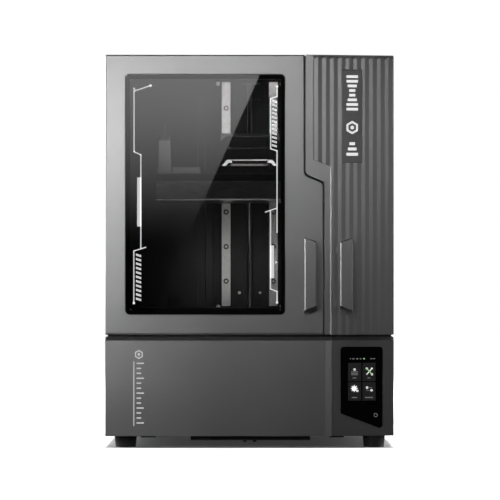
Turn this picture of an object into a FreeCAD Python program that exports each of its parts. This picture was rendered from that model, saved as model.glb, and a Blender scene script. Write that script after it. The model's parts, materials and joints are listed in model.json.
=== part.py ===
import FreeCAD, Part
import math
import os

# A large masking-screen resin printer: a base that holds the light engine and electronics, a
# heated build chamber above it with two doors, and a build plate that a lead screw lifts.
# Millimetres. +X is the right side seen from the front, -Y is the front, +Z is up.
# The drawing's datum is on the floor, under the middle of the cabinet. When a node is written it is
# moved back by ENVELOPE_SHIFT, so that the saved origin is under the middle of the whole envelope,
# pull bars included.

# ---- driving dimensions -------------------------------------------------------------------
HALF_WIDTH = 236.0
FRONT_Y = -200.0
BACK_Y = 200.0
FOOT_HEIGHT = 19.0
BASE_TOP = 181.0
DECK_TOP = 184.0
DOOR_BOTTOM = 184.6
TOTAL_HEIGHT = 642.0
SHEET = 3.0
ENVELOPE_SHIFT = 12.2
FAN_SIZE = 60.0
FAN_DEPTH = 16.0
FAN_HUB_R = 11.0
KNOB_X = 130.0
KNOB_Y = -157.0

DOOR_THICKNESS = 18.0
SEAM_UPPER_X = 90.4
SEAM_LOWER_X = 121.4
SEAM_BEND_HIGH = 446.0
SEAM_BEND_LOW = 433.5
SEAM_GAP = 1.4
SLOPE_RISE = 18.0
FLUTE_PITCH = 12.87
FLUTE_FIRST_X = 105.13
FLUTE_DEPTH = 0.8
FLUTE_COUNT = 11

LEFT_PIVOT = (-230.0, -190.5)
RIGHT_PIVOT = (230.0, -173.0)
PIVOT_PIN_R = 2.5
RUNNING_GAP = 0.05

RAIL_X = 41.0
RAIL_WIDTH = 15.0
RAIL_FRONT_Y = 62.0
RAIL_LOW = 230.0
RAIL_HIGH = 618.0
TOWER_Y = 75.0
WALL_Y = 87.0
SCREW_Y = 60.0
SCREW_R = 5.0

PLATE_HALF_X = 155.0
PLATE_FRONT_Y = -136.0
PLATE_BACK_Y = 32.0
PLATE_BOTTOM = 406.5
PLATE_TOP = 438.5
FLANGE_TOP = 451.0

TANK_RIM_TOP = 228.0

os.makedirs("parts", exist_ok=True)


# ---- small helpers ------------------------------------------------------------------------
def box(x0, x1, y0, y1, z0, z1):
    """A block between two corners."""
    return Part.makeBox(x1 - x0, y1 - y0, z1 - z0, FreeCAD.Vector(x0, y0, z0))


def rod(x, y, z, radius, length, axis=(0, 0, 1)):
    """A round bar from a point along an axis."""
    return Part.makeCylinder(radius, length, FreeCAD.Vector(x, y, z), FreeCAD.Vector(*axis))


def slab(points, z0, z1):
    """A plan outline of (x, y) points pulled up from z0 to z1."""
    corners = [FreeCAD.Vector(x, y, z0) for x, y in points]
    wire = Part.makePolygon(corners + corners[:1])
    return Part.Face(wire).extrude(FreeCAD.Vector(0, 0, z1 - z0))


def side_slab(points, x0, x1):
    """A side outline of (y, z) points pulled across from x0 to x1."""
    corners = [FreeCAD.Vector(x0, y, z) for y, z in points]
    wire = Part.makePolygon(corners + corners[:1])
    return Part.Face(wire).extrude(FreeCAD.Vector(x1 - x0, 0, 0))


def rounded_wire(corners, radii, y):
    """A closed front outline of (x, z) corners at depth y, each corner rounded by its radius."""
    count = len(corners)
    points = [FreeCAD.Vector(x, y, z) for x, z in corners]
    edges = []
    starts = []
    ends = []
    for i in range(count):
        before = (points[i - 1] - points[i]).normalize()
        after = (points[(i + 1) % count] - points[i]).normalize()
        half = before.getAngle(after) / 2.0
        reach = radii[i] / math.tan(half)
        middle = (before + after).normalize()
        centre = points[i] + middle * (radii[i] / math.sin(half))
        start = points[i] + before * reach
        end = points[i] + after * reach
        starts.append(start)
        ends.append(end)
        if radii[i] > 0.0:
            edges.append(Part.Arc(start, centre - middle * radii[i], end).toShape())
    result = []
    for i in range(count):
        if radii[i] > 0.0:
            result.append(edges[sum(1 for r in radii[:i] if r > 0.0)])
        result.append(Part.LineSegment(ends[i], starts[(i + 1) % count]).toShape())
    return Part.Wire(result)


def panel(corners, radii, y0, y1):
    """A flat plate with a rounded front outline, from depth y0 to y1."""
    face = Part.Face(rounded_wire(corners, radii, y0))
    return face.extrude(FreeCAD.Vector(0, y1 - y0, 0))


def window_panel(x0, x1, z0, z1, radius, y0, y1):
    """A rectangular plate with four equal rounded corners."""
    return panel([(x0, z0), (x1, z0), (x1, z1), (x0, z1)], [radius] * 4, y0, y1)


def fused(shapes):
    """One solid from touching or overlapping pieces."""
    return shapes[0].multiFuse(shapes[1:]).removeSplitter()


def together(shapes):
    """Separate solids kept in one node."""
    return Part.makeCompound(shapes)


def save(name, shape):
    """Write one node, moved to the envelope's origin."""
    copy = shape.copy()
    copy.translate(FreeCAD.Vector(0.0, ENVELOPE_SHIFT, 0.0))
    copy.exportStep("parts/" + name + ".step")


def front_slope(x):
    """Depth of the right-hand front surfaces, which fall back towards the right edge."""
    return FRONT_Y + 0.8 + (x - 92.0) * SLOPE_RISE / 144.0


def door_back(x):
    """Depth of the back of the doors across the machine."""
    return FRONT_Y + DOOR_THICKNESS + max(0.0, x - 92.0) * (SLOPE_RISE - 3.0) / 144.0


# ---- base ---------------------------------------------------------------------------------
def base_front():
    """Front fascia: flat on the left, a narrow raised facet, then a sloping right-hand part."""
    front = [(-236.0, FRONT_Y), (123.0, FRONT_Y), (133.2, FRONT_Y - 0.5), (134.2, front_slope(134.2)),
             (236.0, front_slope(236.0))]
    back = [(236.0, front_slope(236.0) + 9.0), (123.0, FRONT_Y + 12.0), (-236.0, FRONT_Y + 12.0)]
    lower = slab(front + back, FOOT_HEIGHT, BASE_TOP - 6.0)
    low = [FreeCAD.Vector(x, y, BASE_TOP - 6.0) for x, y in front + back]
    high = [FreeCAD.Vector(x, y + 6.0, BASE_TOP) for x, y in front]
    high += [FreeCAD.Vector(x, y, BASE_TOP) for x, y in back]
    wires = [Part.makePolygon(ring + ring[:1]) for ring in (low, high)]
    lip = Part.makeLoft(wires, True, True)
    body = lower.fuse(lip)
    recess = panel([(148.4, 55.8), (217.9, 29.6), (217.9, 164.8), (148.4, 164.8)],
                   [3.0, 5.0, 5.0, 5.0], -210.0, -160.0)
    return body.cut(recess)


def touch_panel(y0, y1, inset):
    """The control screen's cut-corner outline, laid on the sloping right-hand front."""
    corners = [(148.4 + inset, 55.8 + inset), (217.9 - inset, 29.6 + inset),
               (217.9 - inset, 164.8 - inset), (148.4 + inset, 164.8 - inset)]
    plate = panel(corners, [3.0, 5.0, 5.0, 5.0], -215.0, -160.0)
    band = slab([(140.0, front_slope(140.0) + y0), (230.0, front_slope(230.0) + y0),
                 (230.0, front_slope(230.0) + y1), (140.0, front_slope(140.0) + y1)], 20.0, 175.0)
    return plate.common(band)


def base_sides():
    """The two folded side sheets of the base, with air slots; the right one has a port and a button hole."""
    left = box(-236.0, -234.0, FRONT_Y + 12.0, BACK_Y, FOOT_HEIGHT, BASE_TOP)
    right = box(234.0, 236.0, front_slope(236.0) + 9.0, BACK_Y, FOOT_HEIGHT, BASE_TOP)
    slots = [box(-240.0, -230.0, y, y + 5.0, 60.0, 130.0) for y in range(60, 161, 12)]
    left = left.cut(together(slots))
    port = box(230.0, 240.0, -146.0, -134.0, 52.0, 60.0)
    button_hole = rod(230.0, -158.0, 40.0, 6.3, 10.0, (1, 0, 0))
    right = right.cut(port).cut(button_hole)
    right = right.cut(together([box(230.0, 240.0, y, y + 5.0, 60.0, 130.0) for y in range(60, 161, 12)]))
    return together([left, right])


def base_floor():
    """Floor pan with an air inlet under the light engine."""
    plan = [(-234.0, FRONT_Y + 12.0), (123.0, FRONT_Y + 12.0), (234.0, front_slope(234.0) + 9.2),
            (234.0, BACK_Y - 3.0), (-234.0, BACK_Y - 3.0)]
    pan = slab(plan, FOOT_HEIGHT, FOOT_HEIGHT + SHEET)
    slots = [box(-44.0, 44.0, y, y + 5.0, 10.0, 30.0) for y in range(-90, -9, 11)]
    return pan.cut(together(slots))


def feet():
    """Four tapered rubber feet under the corners."""
    shapes = []
    for x in (-204.0, 204.0):
        for y in (-164.0, 160.0):
            base = FreeCAD.Vector(x, y, 0.0)
            shapes.append(Part.makeCone(16.7, 18.3, FOOT_HEIGHT, base, FreeCAD.Vector(0, 0, 1)))
    return together(shapes)


def under_tray():
    """Shallow air duct tray that hangs under the floor, open to the front between two nubs."""
    tray = box(-97.0, 99.0, -172.0, 40.0, 11.0, FOOT_HEIGHT)
    tray = tray.cut(box(-93.0, 95.0, -168.0, 36.0, 14.0, 20.0))
    ducts = [box(-60.0, 60.0, y, y + 5.0, 5.0, 16.0) for y in range(-80, -9, 14)]
    tray = tray.cut(together(ducts))
    nubs = [box(x - 3.0, x + 3.0, -170.0, -164.0, 8.0, 11.0) for x in (-8.0, 8.0)]
    return fused([tray] + nubs)


def floor_pads():
    """Small levelling pads near the front and back edges of the floor."""
    shapes = []
    for x in (-166.0, 142.0):
        for y in (-178.0, 150.0):
            shapes.append(box(x - 12.0, x + 12.0, y - 8.0, y + 8.0, 16.5, FOOT_HEIGHT))
    return together(shapes)


def deck():
    """Thick top plate of the base, with the screen opening and the tank screw holes."""
    plan = [(-232.8, FRONT_Y + 21.0), (92.0, FRONT_Y + 21.0), (232.8, door_back(232.8) + 3.0),
            (232.8, BACK_Y - 3.0), (-232.8, BACK_Y - 3.0)]
    plate = slab(plan, 178.0, DECK_TOP)
    plate = plate.cut(box(-162.0, 162.0, -139.0, 35.0, 170.0, 190.0))
    for x in (-KNOB_X, KNOB_X):
        plate = plate.cut(rod(x, KNOB_Y, 170.0, 3.4, 20.0))
    plate = plate.cut(rod(0.0, SCREW_Y, 170.0, 12.0, 20.0))
    return plate


def screen_glass():
    """The masking screen with its cover glass, flush with the deck."""
    return box(-162.0, 162.0, -139.0, 35.0, 180.0, DECK_TOP - 0.2)


def light_engine():
    """Reflector hopper between the lamp board and the screen."""
    def ring(half_x, half_y, z):
        y = -52.0
        corners = [FreeCAD.Vector(-half_x, y - half_y, z), FreeCAD.Vector(half_x, y - half_y, z),
                   FreeCAD.Vector(half_x, y + half_y, z), FreeCAD.Vector(-half_x, y + half_y, z)]
        return Part.makePolygon(corners + corners[:1])
    outer = Part.makeLoft([ring(60.0, 42.0, 76.0), ring(160.0, 85.0, 177.6)], True, True)
    inner = Part.makeLoft([ring(58.0, 40.0, 75.0), ring(158.0, 83.0, 179.0)], True, True)
    return outer.cut(inner)


def lamp_board():
    """Lamp board with its grid of lens domes."""
    shapes = [box(-60.0, 60.0, -94.0, -10.0, 70.0, 74.0)]
    for i in range(6):
        for j in range(4):
            x = -45.0 + 18.0 * i
            y = -79.0 + 18.0 * j
            dome = Part.makeSphere(6.0, FreeCAD.Vector(x, y, 73.0), FreeCAD.Vector(0, 0, 1), 0, 90, 360)
            shapes.append(dome)
    return fused(shapes)


def heat_sink():
    """Finned heat sink under the lamp board."""
    shapes = [box(-58.0, 58.0, -92.0, -12.0, 64.0, 70.0)]
    for i in range(15):
        x = -57.0 + 8.0 * i
        shapes.append(box(x, x + 2.0, -92.0, -12.0, 42.0, 64.5))
    return fused(shapes)


def fan_frame():
    """Square fan frame, centred on the origin, air flow along +Z, with a spoked motor seat."""
    half = FAN_SIZE / 2.0
    body = box(-half, half, -half, half, 0.0, FAN_DEPTH)
    body = body.cut(rod(0.0, 0.0, -1.0, half - 2.0, FAN_DEPTH + 2.0))
    for x in (-half + 4.5, half - 4.5):
        for y in (-half + 4.5, half - 4.5):
            body = body.cut(rod(x, y, -1.0, 2.1, FAN_DEPTH + 2.0))
    seat = rod(0.0, 0.0, 0.0, FAN_HUB_R, 2.0)
    spokes = [box(-half + 1.0, half - 1.0, -1.5, 1.5, 0.0, 2.0),
              box(-1.5, 1.5, -half + 1.0, half - 1.0, 0.0, 2.0)]
    return fused([body, seat] + spokes)


def fan_rotor():
    """Hub with seven pitched blades that clear the frame all round."""
    half = FAN_SIZE / 2.0
    hub = rod(0.0, 0.0, 2.6, FAN_HUB_R, FAN_DEPTH - 3.4)
    shapes = [hub]
    for i in range(7):
        blade = box(FAN_HUB_R - 1.5, half - 3.8, -0.8, 0.8, -5.0, 5.0)
        blade.rotate(FreeCAD.Vector(0, 0, 0), FreeCAD.Vector(1, 0, 0), 38.0)
        blade.translate(FreeCAD.Vector(0, 0, 2.8 + (FAN_DEPTH - 3.4) / 2.0))
        blade.rotate(FreeCAD.Vector(0, 0, 0), FreeCAD.Vector(0, 0, 1), i * 360.0 / 7.0)
        shapes.append(blade)
    return fused(shapes)


def placed(shape, x, y, z, tilt=0.0):
    """Move a shape, after tilting it about the X axis."""
    copy = shape.copy()
    copy.rotate(FreeCAD.Vector(0, 0, 0), FreeCAD.Vector(1, 0, 0), tilt)
    copy.translate(FreeCAD.Vector(x, y, z))
    return copy


def power_supply():
    """Closed supply box standing on the floor pan."""
    shell = box(-215.0, -115.0, 60.0, 180.0, 22.0, 64.0)
    holes = [rod(-205.0 + 9.0 * i, 66.0 + 12.0 * j, 62.0, 2.5, 5.0) for i in range(11) for j in range(9)]
    return shell.cut(together(holes))


def main_board():
    """Control board on four posts, with its largest parts."""
    shapes = [box(80.0, 210.0, 60.0, 170.0, 32.0, 34.0)]
    for x in (88.0, 202.0):
        for y in (68.0, 162.0):
            shapes.append(rod(x, y, 22.0, 3.0, 10.5))
    shapes.append(box(120.0, 150.0, 95.0, 125.0, 34.0, 40.0))
    shapes.append(box(165.0, 195.0, 75.0, 90.0, 34.0, 46.0))
    shapes.append(box(95.0, 105.0, 80.0, 150.0, 34.0, 44.0))
    return fused(shapes)


def display_housing():
    """Bezel behind the control glass, with its shell inside the base."""
    shell = slab([(152.0, front_slope(152.0) + 8.0), (214.0, front_slope(214.0) + 8.0), (214.0, -160.0),
                  (152.0, -160.0)], 56.0, 158.0)
    return touch_panel(1.6, 8.5, 0.3).fuse(shell).removeSplitter()


# ---- chamber ------------------------------------------------------------------------------
def door_frame():
    """Ring that the doors close on, with the four fixed hinge lugs."""
    front = [(-232.8, FRONT_Y + 21.0), (92.0, FRONT_Y + 21.0), (232.8, door_back(232.8) + 3.0)]
    back = [(x, y + 5.0) for x, y in reversed(front)]
    bars = slab(front + back, DECK_TOP, 638.4)
    opening = box(-212.0, 210.0, -190.0, -140.0, 194.0, 626.0)
    ring = bars.cut(opening)
    lugs = []
    for pivot, side in ((LEFT_PIVOT, -1.0), (RIGHT_PIVOT, 1.0)):
        x, y = pivot
        x0, x1 = sorted((side * 232.6, side * 224.0))
        for z in (184.0, 636.0):
            lug = box(x0, x1, y, y + 13.0, z, z + 2.4)
            lugs.append(lug.fuse(rod(x, y, z, 5.2, 2.4)).common(box(-232.8, 232.8, -210.0, -100.0, 0, 700)))
    ring = fused([ring] + lugs)
    for pivot in (LEFT_PIVOT, RIGHT_PIVOT):
        ring = ring.cut(rod(pivot[0], pivot[1], 180.0, PIVOT_PIN_R, 6.4))
        ring = ring.cut(rod(pivot[0], pivot[1], 636.0, PIVOT_PIN_R, 6.4))
    return ring


def hinge_pins():
    """Upright pins held in the lugs, on which the doors turn."""
    shapes = []
    for x, y in (LEFT_PIVOT, RIGHT_PIVOT):
        shapes.append(rod(x, y, 184.0, PIVOT_PIN_R, 26.0))
        shapes.append(rod(x, y, 612.0, PIVOT_PIN_R, 26.4))
    return together(shapes)


def side_panels():
    """Left and right outer sheets of the chamber."""
    left = box(-236.0, -232.9, FRONT_Y + 21.0, BACK_Y, 184.6, TOTAL_HEIGHT)
    right = box(232.9, 236.0, door_back(236.0) + 6.0, BACK_Y, 184.6, TOTAL_HEIGHT)
    return together([left, right])


def top_panel():
    """Top sheet between the sides."""
    plan = [(-232.8, FRONT_Y + 21.0), (92.0, FRONT_Y + 21.0), (232.8, door_back(232.8) + 3.0),
            (232.8, BACK_Y - 3.2), (-232.8, BACK_Y - 3.2)]
    return slab(plan, 638.5, TOTAL_HEIGHT)


def inner_wall():
    """Chamber back wall with two pressed grooves and the exhaust grille."""
    wall = box(-232.8, 232.8, WALL_Y, WALL_Y + SHEET, DECK_TOP, 638.4)
    for x in (-84.0, 84.0):
        wall = wall.cut(window_panel(x - 6.5, x + 6.5, 234.0, 590.0, 6.4, WALL_Y - 1.0, WALL_Y + 1.6))
    slots = [box(120.0, 190.0, WALL_Y - 5.0, WALL_Y + 8.0, 500.0 + 9.0 * i, 504.0 + 9.0 * i)
             for i in range(8)]
    return wall.cut(together(slots))


def tower_plate():
    """Thick back plate that carries the rails."""
    return box(-63.0, 63.0, TOWER_Y, WALL_Y, DECK_TOP, 626.0)


def tower_screws():
    """Four cap screws at the corners of the tower plate."""
    shapes = []
    for x in (-55.0, 55.0):
        for z in (229.0, 616.0):
            head = rod(x, TOWER_Y, z, 3.6, 3.6, (0, -1, 0))
            head = head.cut(rod(x, TOWER_Y - 1.6, z, 1.7, 3.0, (0, -1, 0)))
            shapes.append(head)
    return shapes


def rails():
    """Two linear guide rails with a waist on each side."""
    shapes = []
    half = RAIL_WIDTH / 2.0
    for x in (-RAIL_X, RAIL_X):
        rail = box(x - half, x + half, RAIL_FRONT_Y, TOWER_Y, RAIL_LOW, RAIL_HIGH)
        for side in (-1.0, 1.0):
            edge = x + side * half
            notch = box(edge - 1.6, edge + 1.6, RAIL_FRONT_Y + 3.5, RAIL_FRONT_Y + 7.5,
                        RAIL_LOW - 1, RAIL_HIGH + 1)
            rail = rail.cut(notch)
        for k in range(6):
            rail = rail.cut(rod(x, RAIL_FRONT_Y - 1.0, 273.0 + 60.0 * k, 3.8, 5.0, (0, 1, 0)))
        shapes.append(rail)
    return together(shapes)


def rail_screws():
    """Cap screws sunk in the rails, and the four at the corners of the tower plate."""
    shapes = list(tower_screws())
    for x in (-RAIL_X, RAIL_X):
        for k in range(6):
            z = 273.0 + 60.0 * k
            head = rod(x, RAIL_FRONT_Y + 0.6, z, 3.2, 3.4, (0, 1, 0))
            head = head.cut(rod(x, RAIL_FRONT_Y, z, 1.5, 2.0, (0, 1, 0)))
            shapes.append(head)
    return together(shapes)


def screw_supports():
    """Lower and upper bearing blocks of the lead screw."""
    low = box(-20.0, 20.0, 48.5, TOWER_Y, DECK_TOP, 204.0)
    high = box(-18.0, 18.0, 48.5, TOWER_Y, 615.0, 626.0)
    shapes = []
    for block in (low, high):
        shapes.append(block.cut(rod(0.0, SCREW_Y, 170.0, SCREW_R + RUNNING_GAP, 480.0)))
    return together(shapes)


def z_motor():
    """Stepper motor hung under the deck."""
    body = box(-21.0, 21.0, SCREW_Y - 21.0, SCREW_Y + 21.0, 112.0, 160.0)
    body = fused([body, box(-25.0, 25.0, SCREW_Y - 23.6, SCREW_Y + 25.0, 160.0, 163.0)])
    for x in (-24.0, 24.0):
        body = body.fuse(box(x - 1.0, x + 1.0, SCREW_Y - 23.6, SCREW_Y + 25.0, 163.0, 178.0))
    return body.removeSplitter()


def lead_screw():
    """Lead screw as a plain bar on its outside diameter."""
    return rod(0.0, SCREW_Y, 175.0, SCREW_R, 450.0)


def shaft_coupling():
    """Coupling between the motor and the lead screw."""
    body = rod(0.0, SCREW_Y, 164.0, 9.5, 19.0)
    return body.cut(rod(0.0, SCREW_Y, 175.0, SCREW_R, 20.0))


def door_gasket():
    """Soft strip between the door frame and the backs of the doors."""
    front = [(-226.0, FRONT_Y + 18.4), (92.0, FRONT_Y + 18.4), (222.0, door_back(222.0) + 0.4)]
    back = [(222.0, door_back(222.0) + 3.0), (92.0, FRONT_Y + 21.0), (-226.0, FRONT_Y + 21.0)]
    band = slab(front + back, 192.0, 630.0)
    inside = box(-216.0, 214.0, -200.0, -140.0, 198.0, 622.0)
    return band.cut(inside).cut(box(-240.0, -218.0, -200.0, -140.0, 180.0, 640.0)).cut(
        box(217.0, 240.0, -200.0, -140.0, 180.0, 640.0))


def chamber_light():
    """Light bar under the chamber ceiling."""
    return box(-150.0, 150.0, -120.0, -108.0, 632.0, 638.5)


def rear_panel():
    """Upper rear sheet with the exhaust grille and a lower row of air slots."""
    sheet = box(-232.8, 232.8, BACK_Y - 3.0, BACK_Y, 184.1, 638.4)
    slots = []
    for i in range(9):
        slots.append(box(115.0, 195.0, 190.0, 210.0, 492.0 + 9.0 * i, 497.0 + 9.0 * i))
    for i in range(12):
        slots.append(box(-110.0 + 18.0 * i, -104.0 + 18.0 * i, 190.0, 210.0, 230.0, 290.0))
    return sheet.cut(together(slots))


def rear_base_panel():
    """Lower rear sheet with the inlet, rocker and fan openings."""
    sheet = box(-233.9, 233.9, BACK_Y - 3.0, BACK_Y, 22.1, 177.9)
    sheet = sheet.cut(box(-190.0, -160.0, 190.0, 210.0, 70.0, 94.0))
    sheet = sheet.cut(box(-150.0, -130.0, 190.0, 210.0, 70.0, 94.0))
    slots = [box(-40.0 + 12.0 * i, -34.0 + 12.0 * i, 190.0, 210.0, 60.0, 140.0) for i in range(8)]
    return sheet.cut(together(slots))


def power_inlet():
    """Appliance inlet with its three flat contacts."""
    body = box(-190.0, -160.0, 180.5, 201.5, 70.0, 94.0)
    body = body.fuse(box(-193.0, -157.0, BACK_Y, 201.5, 67.0, 97.0))
    body = body.cut(box(-187.0, -163.0, 185.0, 210.0, 73.0, 91.0))
    for x, z in ((-182.0, 80.0), (-168.0, 80.0), (-175.0, 85.0)):
        body = body.fuse(box(x - 1.0, x + 1.0, 184.0, 197.0, z - 2.0, z + 2.0))
    return body.removeSplitter()


def rocker_housing():
    """Bezel round the mains rocker."""
    body = box(-150.0, -130.0, 184.0, 201.0, 70.0, 94.0)
    return body.cut(box(-147.5, -132.5, 186.0, 210.0, 72.5, 91.5))


def mains_rocker():
    """Dished rocker key, resting in its off position."""
    key = side_slab([(192.0, 74.8), (201.0, 74.4), (200.2, 82.0), (201.0, 89.6), (192.0, 89.2)],
                    -147.0, -133.0)
    key.rotate(FreeCAD.Vector(-140.0, 195.0, 82.0), FreeCAD.Vector(1, 0, 0), -5.0)
    return key


def usb_socket():
    """Socket shell in the right side of the base, and the switch body behind the push button."""
    body = box(218.0, 235.6, -146.0, -134.0, 52.0, 60.0)
    body = body.cut(box(221.0, 240.0, -144.6, -135.4, 53.4, 58.6))
    socket = body.fuse(box(220.0, 234.0, -143.5, -136.5, 55.2, 56.6)).removeSplitter()
    return together([socket, box(214.0, 224.6, -166.0, -150.0, 32.0, 48.0)])


def side_button():
    """Round push button on the right side of the base."""
    return rod(226.0, -158.0, 40.0, 6.0, 11.2, (1, 0, 0))


def filter_box():
    """Carbon filter case between the chamber wall and the exhaust fan."""
    case = box(112.0, 198.0, WALL_Y + SHEET, 168.0, 488.0, 578.0)
    return case.cut(box(115.0, 195.0, WALL_Y, 170.0, 491.0, 575.0))


def filter_cartridge():
    """Pleated carbon cartridge inside the case."""
    points = []
    for i in range(20):
        points.append((115.0 + 4.0 * i, 100.0 if i % 2 else 120.0))
    far = [(x, y + 6.0) for x, y in reversed(points)]
    return slab(points + far, 491.0, 575.0)


# ---- doors --------------------------------------------------------------------------------
def seam_corners(shift_x, shift_z):
    """Lower and upper bends of the seam between the doors."""
    low = (SEAM_LOWER_X + shift_x, SEAM_BEND_LOW + shift_z)
    high = (SEAM_UPPER_X + shift_x, SEAM_BEND_HIGH + shift_z)
    return low, high


def hinge_pocket(pivot, side):
    """Space that a door needs round its two lugs, and the bores for the pins."""
    x, y = pivot
    x0, x1 = sorted((side * 240.0, side * 217.0))
    low = box(x0, x1, y - 5.9, y + 30.0, 180.0, 187.4)
    high = box(x0, x1, y - 5.9, y + 30.0, 635.2, 639.4)
    bore = rod(x, y, 180.0, PIVOT_PIN_R + RUNNING_GAP, 31.0)
    top_bore = rod(x, y, 611.0, PIVOT_PIN_R + RUNNING_GAP, 26.0)
    return together([low, high, bore, top_bore])


def main_door():
    """Door with a large window; its right edge follows the bent seam."""
    low, high = seam_corners(-SEAM_GAP / 2.0, -0.6)
    corners = [(-HALF_WIDTH, DOOR_BOTTOM), (low[0], DOOR_BOTTOM), low, high, (high[0], TOTAL_HEIGHT),
               (-HALF_WIDTH, TOTAL_HEIGHT)]
    body = panel(corners, [1.5, 1.0, 8.0, 11.0, 1.0, 2.0], FRONT_Y, FRONT_Y + DOOR_THICKNESS)
    body = body.cut(window_panel(-203.6, 58.4, 216.6, 610.4, 8.0, FRONT_Y - 1.0, FRONT_Y + 6.0))
    body = body.cut(window_panel(-196.0, 51.0, 224.0, 603.0, 6.0, FRONT_Y - 1.0, FRONT_Y + 30.0))
    outer = [e for e in body.Edges if abs(e.BoundBox.XMin + HALF_WIDTH) < 0.01
             and abs(e.BoundBox.XMax + HALF_WIDTH) < 0.01 and e.BoundBox.ZLength > 400.0]
    body = body.makeFillet(2.5, outer)
    body = body.cut(hinge_pocket(LEFT_PIVOT, -1.0))
    return body


def window_glass():
    """Tinted pane set in the rebate of the main door."""
    return window_panel(-202.8, 57.6, 217.4, 609.6, 7.3, FRONT_Y + 0.9, FRONT_Y + 6.0)


def flute_cutter(valley_x):
    """Upright groove with two flat flanks, open at the bottom of the door and stopped below its top."""
    half = FLUTE_PITCH / 2.0
    wires = []
    for z, depth in ((638.6, 0.02), (636.6, FLUTE_DEPTH), (DOOR_BOTTOM - 2.0, FLUTE_DEPTH)):
        left = valley_x - half
        right = valley_x + half
        points = [(left, front_slope(left)), (valley_x, front_slope(valley_x) + depth),
                  (right, front_slope(right)), (right, front_slope(right) - 4.0),
                  (left, front_slope(left) - 4.0)]
        ring = [FreeCAD.Vector(x, y, z) for x, y in points]
        wires.append(Part.makePolygon(ring + ring[:1]))
    return Part.makeLoft(wires, True, True)


def edge_strip():
    """Smooth strip along the seam, parallel to the main door; its right edge carries a low bead below
    the bend, and stands clear of the sloping flutes."""
    seam = seam_corners(SEAM_GAP / 2.0, 0.6)
    ridge = ((133.7, 459.0), (103.5, 471.0))

    def along(bends, z):
        (x_low, z_low), (x_high, z_high) = bends
        if z <= z_low:
            return x_low
        if z >= z_high:
            return x_high
        return x_low + (x_high - x_low) * (z - z_low) / (z_high - z_low)

    levels = [DOOR_BOTTOM + 0.5, 424.0, 430.0, 434.1, 437.0, 440.0, 443.0, 446.6, 452.0, 459.0,
              462.0, 465.0, 468.0, 471.0, 478.0, TOTAL_HEIGHT - 0.5]
    wires = []
    for z in levels:
        x0 = along(seam, z)
        x1 = along(ridge, z)
        bead = 0.28 * min(1.0, max(0.0, (471.0 - z) / 12.0)) + 0.02
        points = [(x0, FRONT_Y + 5.0), (x0, FRONT_Y + 0.2), (x1 - 2.6, FRONT_Y + 0.3),
                  (x1 - 0.6, FRONT_Y + 0.3 - bead), (x1, FRONT_Y + 0.8), (x1, front_slope(x1) + 4.0)]
        ring = [FreeCAD.Vector(x, y, z) for x, y in points]
        wires.append(Part.makePolygon(ring + ring[:1]))
    return Part.makeLoft(wires, True, True)


def plate_pocket(offset, y0, y1):
    """Upright rectangle on the sloping door face, between two depths below the surface."""
    x0 = 151.0 + offset
    x1 = 184.4 - offset
    plan = [(x0, front_slope(x0) + y0), (x1, front_slope(x1) + y0),
            (x1, front_slope(x1) + y1), (x0, front_slope(x0) + y1)]
    return slab(plan, 466.0 + offset, 618.4 - offset)


def side_door():
    """Narrow fluted door whose face falls back towards the right edge."""
    low, high = seam_corners(SEAM_GAP / 2.0, 0.6)
    corners = [(HALF_WIDTH, DOOR_BOTTOM), (HALF_WIDTH, TOTAL_HEIGHT), (high[0], TOTAL_HEIGHT), high, low,
               (low[0], DOOR_BOTTOM)]
    outline = panel(corners, [1.5, 2.0, 1.0, 11.0, 8.0, 1.0], -212.0, -150.0)
    wedge = slab([(80.0, front_slope(80.0)), (240.0, front_slope(240.0)), (240.0, door_back(240.0)),
                  (92.0, door_back(92.0)), (80.0, door_back(80.0))], 150.0, 700.0)
    body = outline.common(wedge)
    edge = HALF_WIDTH + 1.0
    corner = slab([(edge, door_back(236.0) - 5.0), (edge, door_back(236.0) + 1.0),
                   (edge - 6.0, door_back(231.0) + 1.0), (edge - 6.0, door_back(231.0))], 150.0, 700.0)
    body = body.cut(corner)
    for k in range(FLUTE_COUNT):
        body = body.cut(flute_cutter(FLUTE_FIRST_X + FLUTE_PITCH * k))
    strip = edge_strip().common(outline)
    body = body.fuse(strip).removeSplitter()
    body = body.cut(plate_pocket(0.0, -3.0, 4.0))
    body = body.cut(side_handle())
    body = body.cut(hinge_pocket(RIGHT_PIVOT, 1.0))
    return body


def badge_blank():
    """Plain sunken plate in the upper part of the side door."""
    return plate_pocket(0.6, 1.2, 4.0)


def pull_bar(outline, y_back, y_front, long_side):
    """Bar with a smaller front face: its long edges are bevelled and both ends slope back.
    The long side is -1 when the outline's longer edge is the left one, +1 when it is the right one."""
    def ring(points, y):
        corners = [FreeCAD.Vector(x, y, z) for x, z in points]
        return Part.makePolygon(corners + corners[:1])

    (x0, low0), (x1, low1), (_, high1), (_, high0) = outline
    rise0 = 5.5 if long_side < 0 else 3.5
    rise1 = 5.5 if long_side > 0 else 3.5
    shoulder = [(x0, low0 + rise0), (x1, low1 + rise1), (x1, high1 - 1.6), (x0, high0 - 1.6)]
    face = [(x0 + 2.0, low0 + rise0 + 0.3), (x1 - 1.6, low1 + rise1 + 0.3),
            (x1 - 1.6, high1 - 1.9), (x0 + 2.0, high0 - 1.9)]
    rim = Part.makeLoft([ring(shoulder, y_front + 0.45), ring(face, y_front)], True, True)
    back = Part.makeLoft([ring(outline, y_back), ring(shoulder, y_front + 0.45)], True, True)
    return back.fuse(rim).removeSplitter()


def main_handle():
    """Pull bar of the main door, long edge towards the window."""
    bar = pull_bar([(88.7, 219.2), (108.4, 228.2), (108.4, 336.4), (88.7, 343.8)], -218.0, -226.0, -1)
    posts = [box(92.0, 104.0, -218.5, FRONT_Y, z, z + 12.0) for z in (233.0, 318.0)]
    return fused([bar] + posts)


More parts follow.
